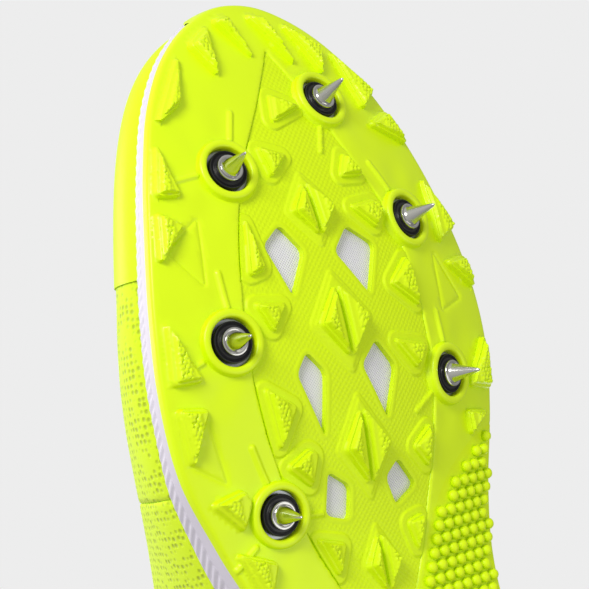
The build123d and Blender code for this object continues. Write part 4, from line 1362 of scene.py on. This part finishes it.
# ------------------------------------------------------------------------------------------------------------
# Midsole
# ------------------------------------------------------------------------------------------------------------
@dataclass
class Midsole:
    """The foam midsole: a swept side wall with fine slanting ribs."""

    step: float = 0.55
    rows: int = 30
    inset: float = 0.25
    swell: float = 0.35
    rib_pitch: float = 2.4
    rib_depth: float = 0.35
    smooth_share: float = 0.42

    def build(self) -> bpy.types.Object:
        """Makes the side wall, with a rim that turns in over the upper's edge."""
        line = FORM.outline(self.step)
        outward = outward_of(line)
        run = np.concatenate([[0.0], np.cumsum(np.linalg.norm(np.diff(line, axis=0), axis=1))])
        low = FORM.underside(line) + 1.9
        high = np.maximum(FORM.wall_top(line), low + 1.0)
        rings = []
        for row in range(self.rows + 1):
            share = row / self.rows
            height = low + (high - low) * share
            ribbed = ease(np.array((share - self.smooth_share) / 0.06))
            ribbed = ribbed * (1 - ease(np.array((share - 0.9) / 0.06)))
            phase = (run + (height - low) * 0.9) / self.rib_pitch
            rib = self.rib_depth * (0.5 + 0.5 * np.cos(2 * np.pi * phase)) * ribbed
            groove = 0.35 * math.exp(-(((share - self.smooth_share) / 0.03) ** 2))
            bulge = self.swell * math.sin(math.pi * share) - 1.6 * max(share - 0.86, 0.0) ** 2 * 40 * 0.5
            offset = -self.inset + bulge - rib - groove
            rings.append(FORM.place(line + outward * offset[:, None], height))
        for inner, drop in ((2.2, 0.1), (3.4, 0.6), (5.0, 1.6)):
            rings.append(FORM.place(line - outward * (self.inset + inner), high + 0.1 - drop))
        faces = hoop_faces(len(rings), len(line))
        return make_object("midsole_foam", np.vstack(rings), faces, MIDSOLE_EVA.material())


# ------------------------------------------------------------------------------------------------------------
# Upper
# ------------------------------------------------------------------------------------------------------------
@dataclass
class Upper:
    """The sewn upper, its linings and its lace."""

    ripple: float = 0.12
    overlap: float = 0.22
    fill: float = 0.7
    long_waves: float = 55.0
    short_waves: float = 140.0

    def cloth(self, node: str, name: str, finish: Finish, step: float) -> bpy.types.Object:
        """Makes a cloth or padded piece from a frame node: rounded edges and faint slack in its faces.

        Args:
            node: the frame's node.
            name: the piece's name.
            finish: its material.
            step: size of its mesh's cells.

        Returns:
            The piece.
        """
        made = copy_of(node, name, finish.material())
        remesh = made.modifiers.new("even", "REMESH")
        remesh.mode = "VOXEL"
        remesh.voxel_size = step * MM
        soft = made.modifiers.new("soften", "SMOOTH")
        soft.factor, soft.iterations = 0.5, 2
        evaluated(made)
        mesh = made.data
        mesh.materials.clear()
        mesh.materials.append(finish.material())
        normals = [v.normal.copy() for v in mesh.vertices]
        for vertex, normal in zip(mesh.vertices, normals, strict=True):
            wave = noise(vertex.co * self.long_waves) + 0.5 * noise(vertex.co * self.short_waves)
            vertex.co += normal * (wave * self.ripple + self.overlap) * MM
        mesh.polygons.foreach_set("use_smooth", [True] * len(mesh.polygons))
        return made

    def build(self) -> None:
        """Makes and settles all of the upper."""
        for node, name, finish, slot, step in (
            ("vamp", "vamp_mesh", UPPER_KNIT, "upper_mesh", 0.9),
            ("medial_quarter", "medial_quarter_mesh", UPPER_KNIT, "upper_mesh", 0.9),
            ("lateral_quarter", "lateral_quarter_mesh", UPPER_KNIT, "upper_mesh", 0.9),
            ("heel_panel", "heel_panel_mesh", UPPER_KNIT, "upper_mesh", 0.9),
            ("tongue", "tongue_padded", UPPER_KNIT, "tongue_mesh", 1.0),
            ("collar_padding", "collar_lining", LINING_TRICOT, "lining_fabric", 1.0),
            ("sockliner", "sockliner_cloth", SOCKLINER_CLOTH, "sockliner_foam", 1.2),
        ):
            made = self.cloth(node, name, finish, step)
            settle(made, "shoe", [node])
        for node, name, finish, slot in (
            ("toe_overlay", "toe_film", WELDED_FILM, "overlay_film"),
            ("heel_overlay", "heel_film", WELDED_FILM, "overlay_film"),
            ("medial_eyestay", "medial_eyestay_film", WELDED_FILM, "overlay_film"),
            ("lateral_eyestay", "lateral_eyestay_film", WELDED_FILM, "overlay_film"),
            ("heel_counter", "heel_counter_board", BOARD, "counter_board"),
            ("strobel_board", "strobel_cloth", BOARD, "strobel_fabric"),
            ("tongue_loop", "tongue_lace_loop", TAPE_WEBBING, "webbing"),
            ("pull_tab", "heel_pull_tab", TAPE_WEBBING, "webbing"),
            ("lace", "lace_braid", LACE_WEAVE, "lace_weave"),
            ("lace_aglets", "lace_tips", AGLET_PLASTIC, "aglet_plastic"),
        ):
            settle(copy_of(node, name, finish.material()), "shoe", [node])


# ------------------------------------------------------------------------------------------------------------
# Studio
# ------------------------------------------------------------------------------------------------------------
@dataclass
class Studio:
    """Camera, floor and light."""

    camera_place: tuple = (-260.3, -48.5, -307.5)
    camera_right: tuple = (0.77644, 0.20747, -0.59506)
    camera_up: tuple = (0.12381, -0.97607, -0.17877)
    camera_back: tuple = (-0.61791, 0.06513, -0.78355)
    lens: float = 116.91
    dim_side: float = 0.34
    lit_side: float = 0.8

    def build(self) -> None:
        """Makes the camera, the lights, the floor and the pale surroundings."""
        camera = bpy.data.objects.new("camera", bpy.data.cameras.new("camera"))
        bpy.context.scene.collection.objects.link(camera)
        camera.data.lens = self.lens
        camera.data.sensor_width = 36.0
        camera.data.clip_start, camera.data.clip_end = 0.01, 10.0
        turn = Matrix((self.camera_right, self.camera_up, self.camera_back)).transposed()
        camera.matrix_world = Matrix.Translation(Vector(self.camera_place) * MM) @ turn.to_4x4()
        bpy.context.scene.camera = camera
        self.surroundings()
        target = Vector((-13, -74, 6)) * MM
        for name, place, power, size in (
            ("key_below", (-580, -520, -340), 4.4, 0.3),
            ("fill_below", (260, 220, -520), 1.0, 0.5),
            ("key_above", (-400, -300, 600), 2.6, 0.4),
            ("fill_above", (450, 350, 400), 1.2, 0.5),
        ):
            light = bpy.data.objects.new(name, bpy.data.lights.new(name, "AREA"))
            light.data.energy, light.data.size = power, size
            light.location = Vector(place) * MM
            light.rotation_mode = "QUATERNION"
            light.rotation_quaternion = (light.location - target).to_track_quat("Z", "Y")
            bpy.context.scene.collection.objects.link(light)
        self.floor()

    def surroundings(self) -> None:
        """Pale surroundings that light the shoe softly, brighter from one side."""
        world = bpy.data.worlds.new("pale_studio")
        world.use_nodes = True
        tree = world.node_tree
        back = tree.nodes["Background"]
        place = add_node(tree, "ShaderNodeTexCoord").outputs["Generated"]
        lit = add_node(
            tree, "ShaderNodeVectorMath", {"operation": "DOT_PRODUCT"}, {0: place, 1: (-0.62, -0.6, -0.1)}
        ).outputs["Value"]
        soft = add_node(
            tree,
            "ShaderNodeMapRange",
            None,
            {
                "Value": lit,
                "From Min": -0.8,
                "From Max": 0.8,
                "To Min": self.dim_side,
                "To Max": self.lit_side,
            },
        ).outputs["Result"]
        seen = add_node(tree, "ShaderNodeLightPath").outputs["Is Camera Ray"]
        strength = add_node(
            tree, "ShaderNodeMix", {"data_type": "FLOAT"}, {0: seen, 2: soft, 3: 1.0}
        ).outputs[0]
        back.inputs["Color"].default_value = to_linear("#EDEDED")
        tree.links.new(strength, back.inputs["Strength"])
        bpy.context.scene.world = world
        bpy.context.scene.view_settings.view_transform = "Standard"

    def floor(self) -> None:
        """Makes the pale floor, which shows from above only."""
        half = 1.5
        corners = [(-half, -half, 0), (half, -half, 0), (half, half, 0), (-half, half, 0)]
        made = make_object("floor", corners, [(0, 1, 2, 3)], floor_material())
        made.visible_shadow = made.visible_diffuse = made.visible_glossy = made.visible_transmission = False


def floor_material() -> bpy.types.Material:
    """Painted board: matt, pale grey, clear from below."""
    made = bpy.data.materials.new("painted_pale_board")
    made.use_nodes = True
    tree = made.node_tree
    shader = tree.nodes["Principled BSDF"]
    shader.inputs["Base Color"].default_value = to_linear("#D2D2D2")
    shader.inputs["Roughness"].default_value = 0.8
    clear = add_node(tree, "ShaderNodeBsdfTransparent")
    side = add_node(tree, "ShaderNodeNewGeometry").outputs["Backfacing"]
    mixed = add_node(
        tree, "ShaderNodeMixShader", None, {0: side, 1: shader.outputs[0], 2: clear.outputs[0]}
    )
    tree.links.new(mixed.outputs[0], tree.nodes["Material Output"].inputs["Surface"])
    return made


def main() -> None:
    """Builds every piece in order."""
    build_outsole()
    SpikeSet().build()
    settle(Midsole().build(), "shoe", ["midsole"])
    Upper().build()
    Studio().build()
    bpy.context.view_layer.update()


if __name__ == "__main__":
    main()
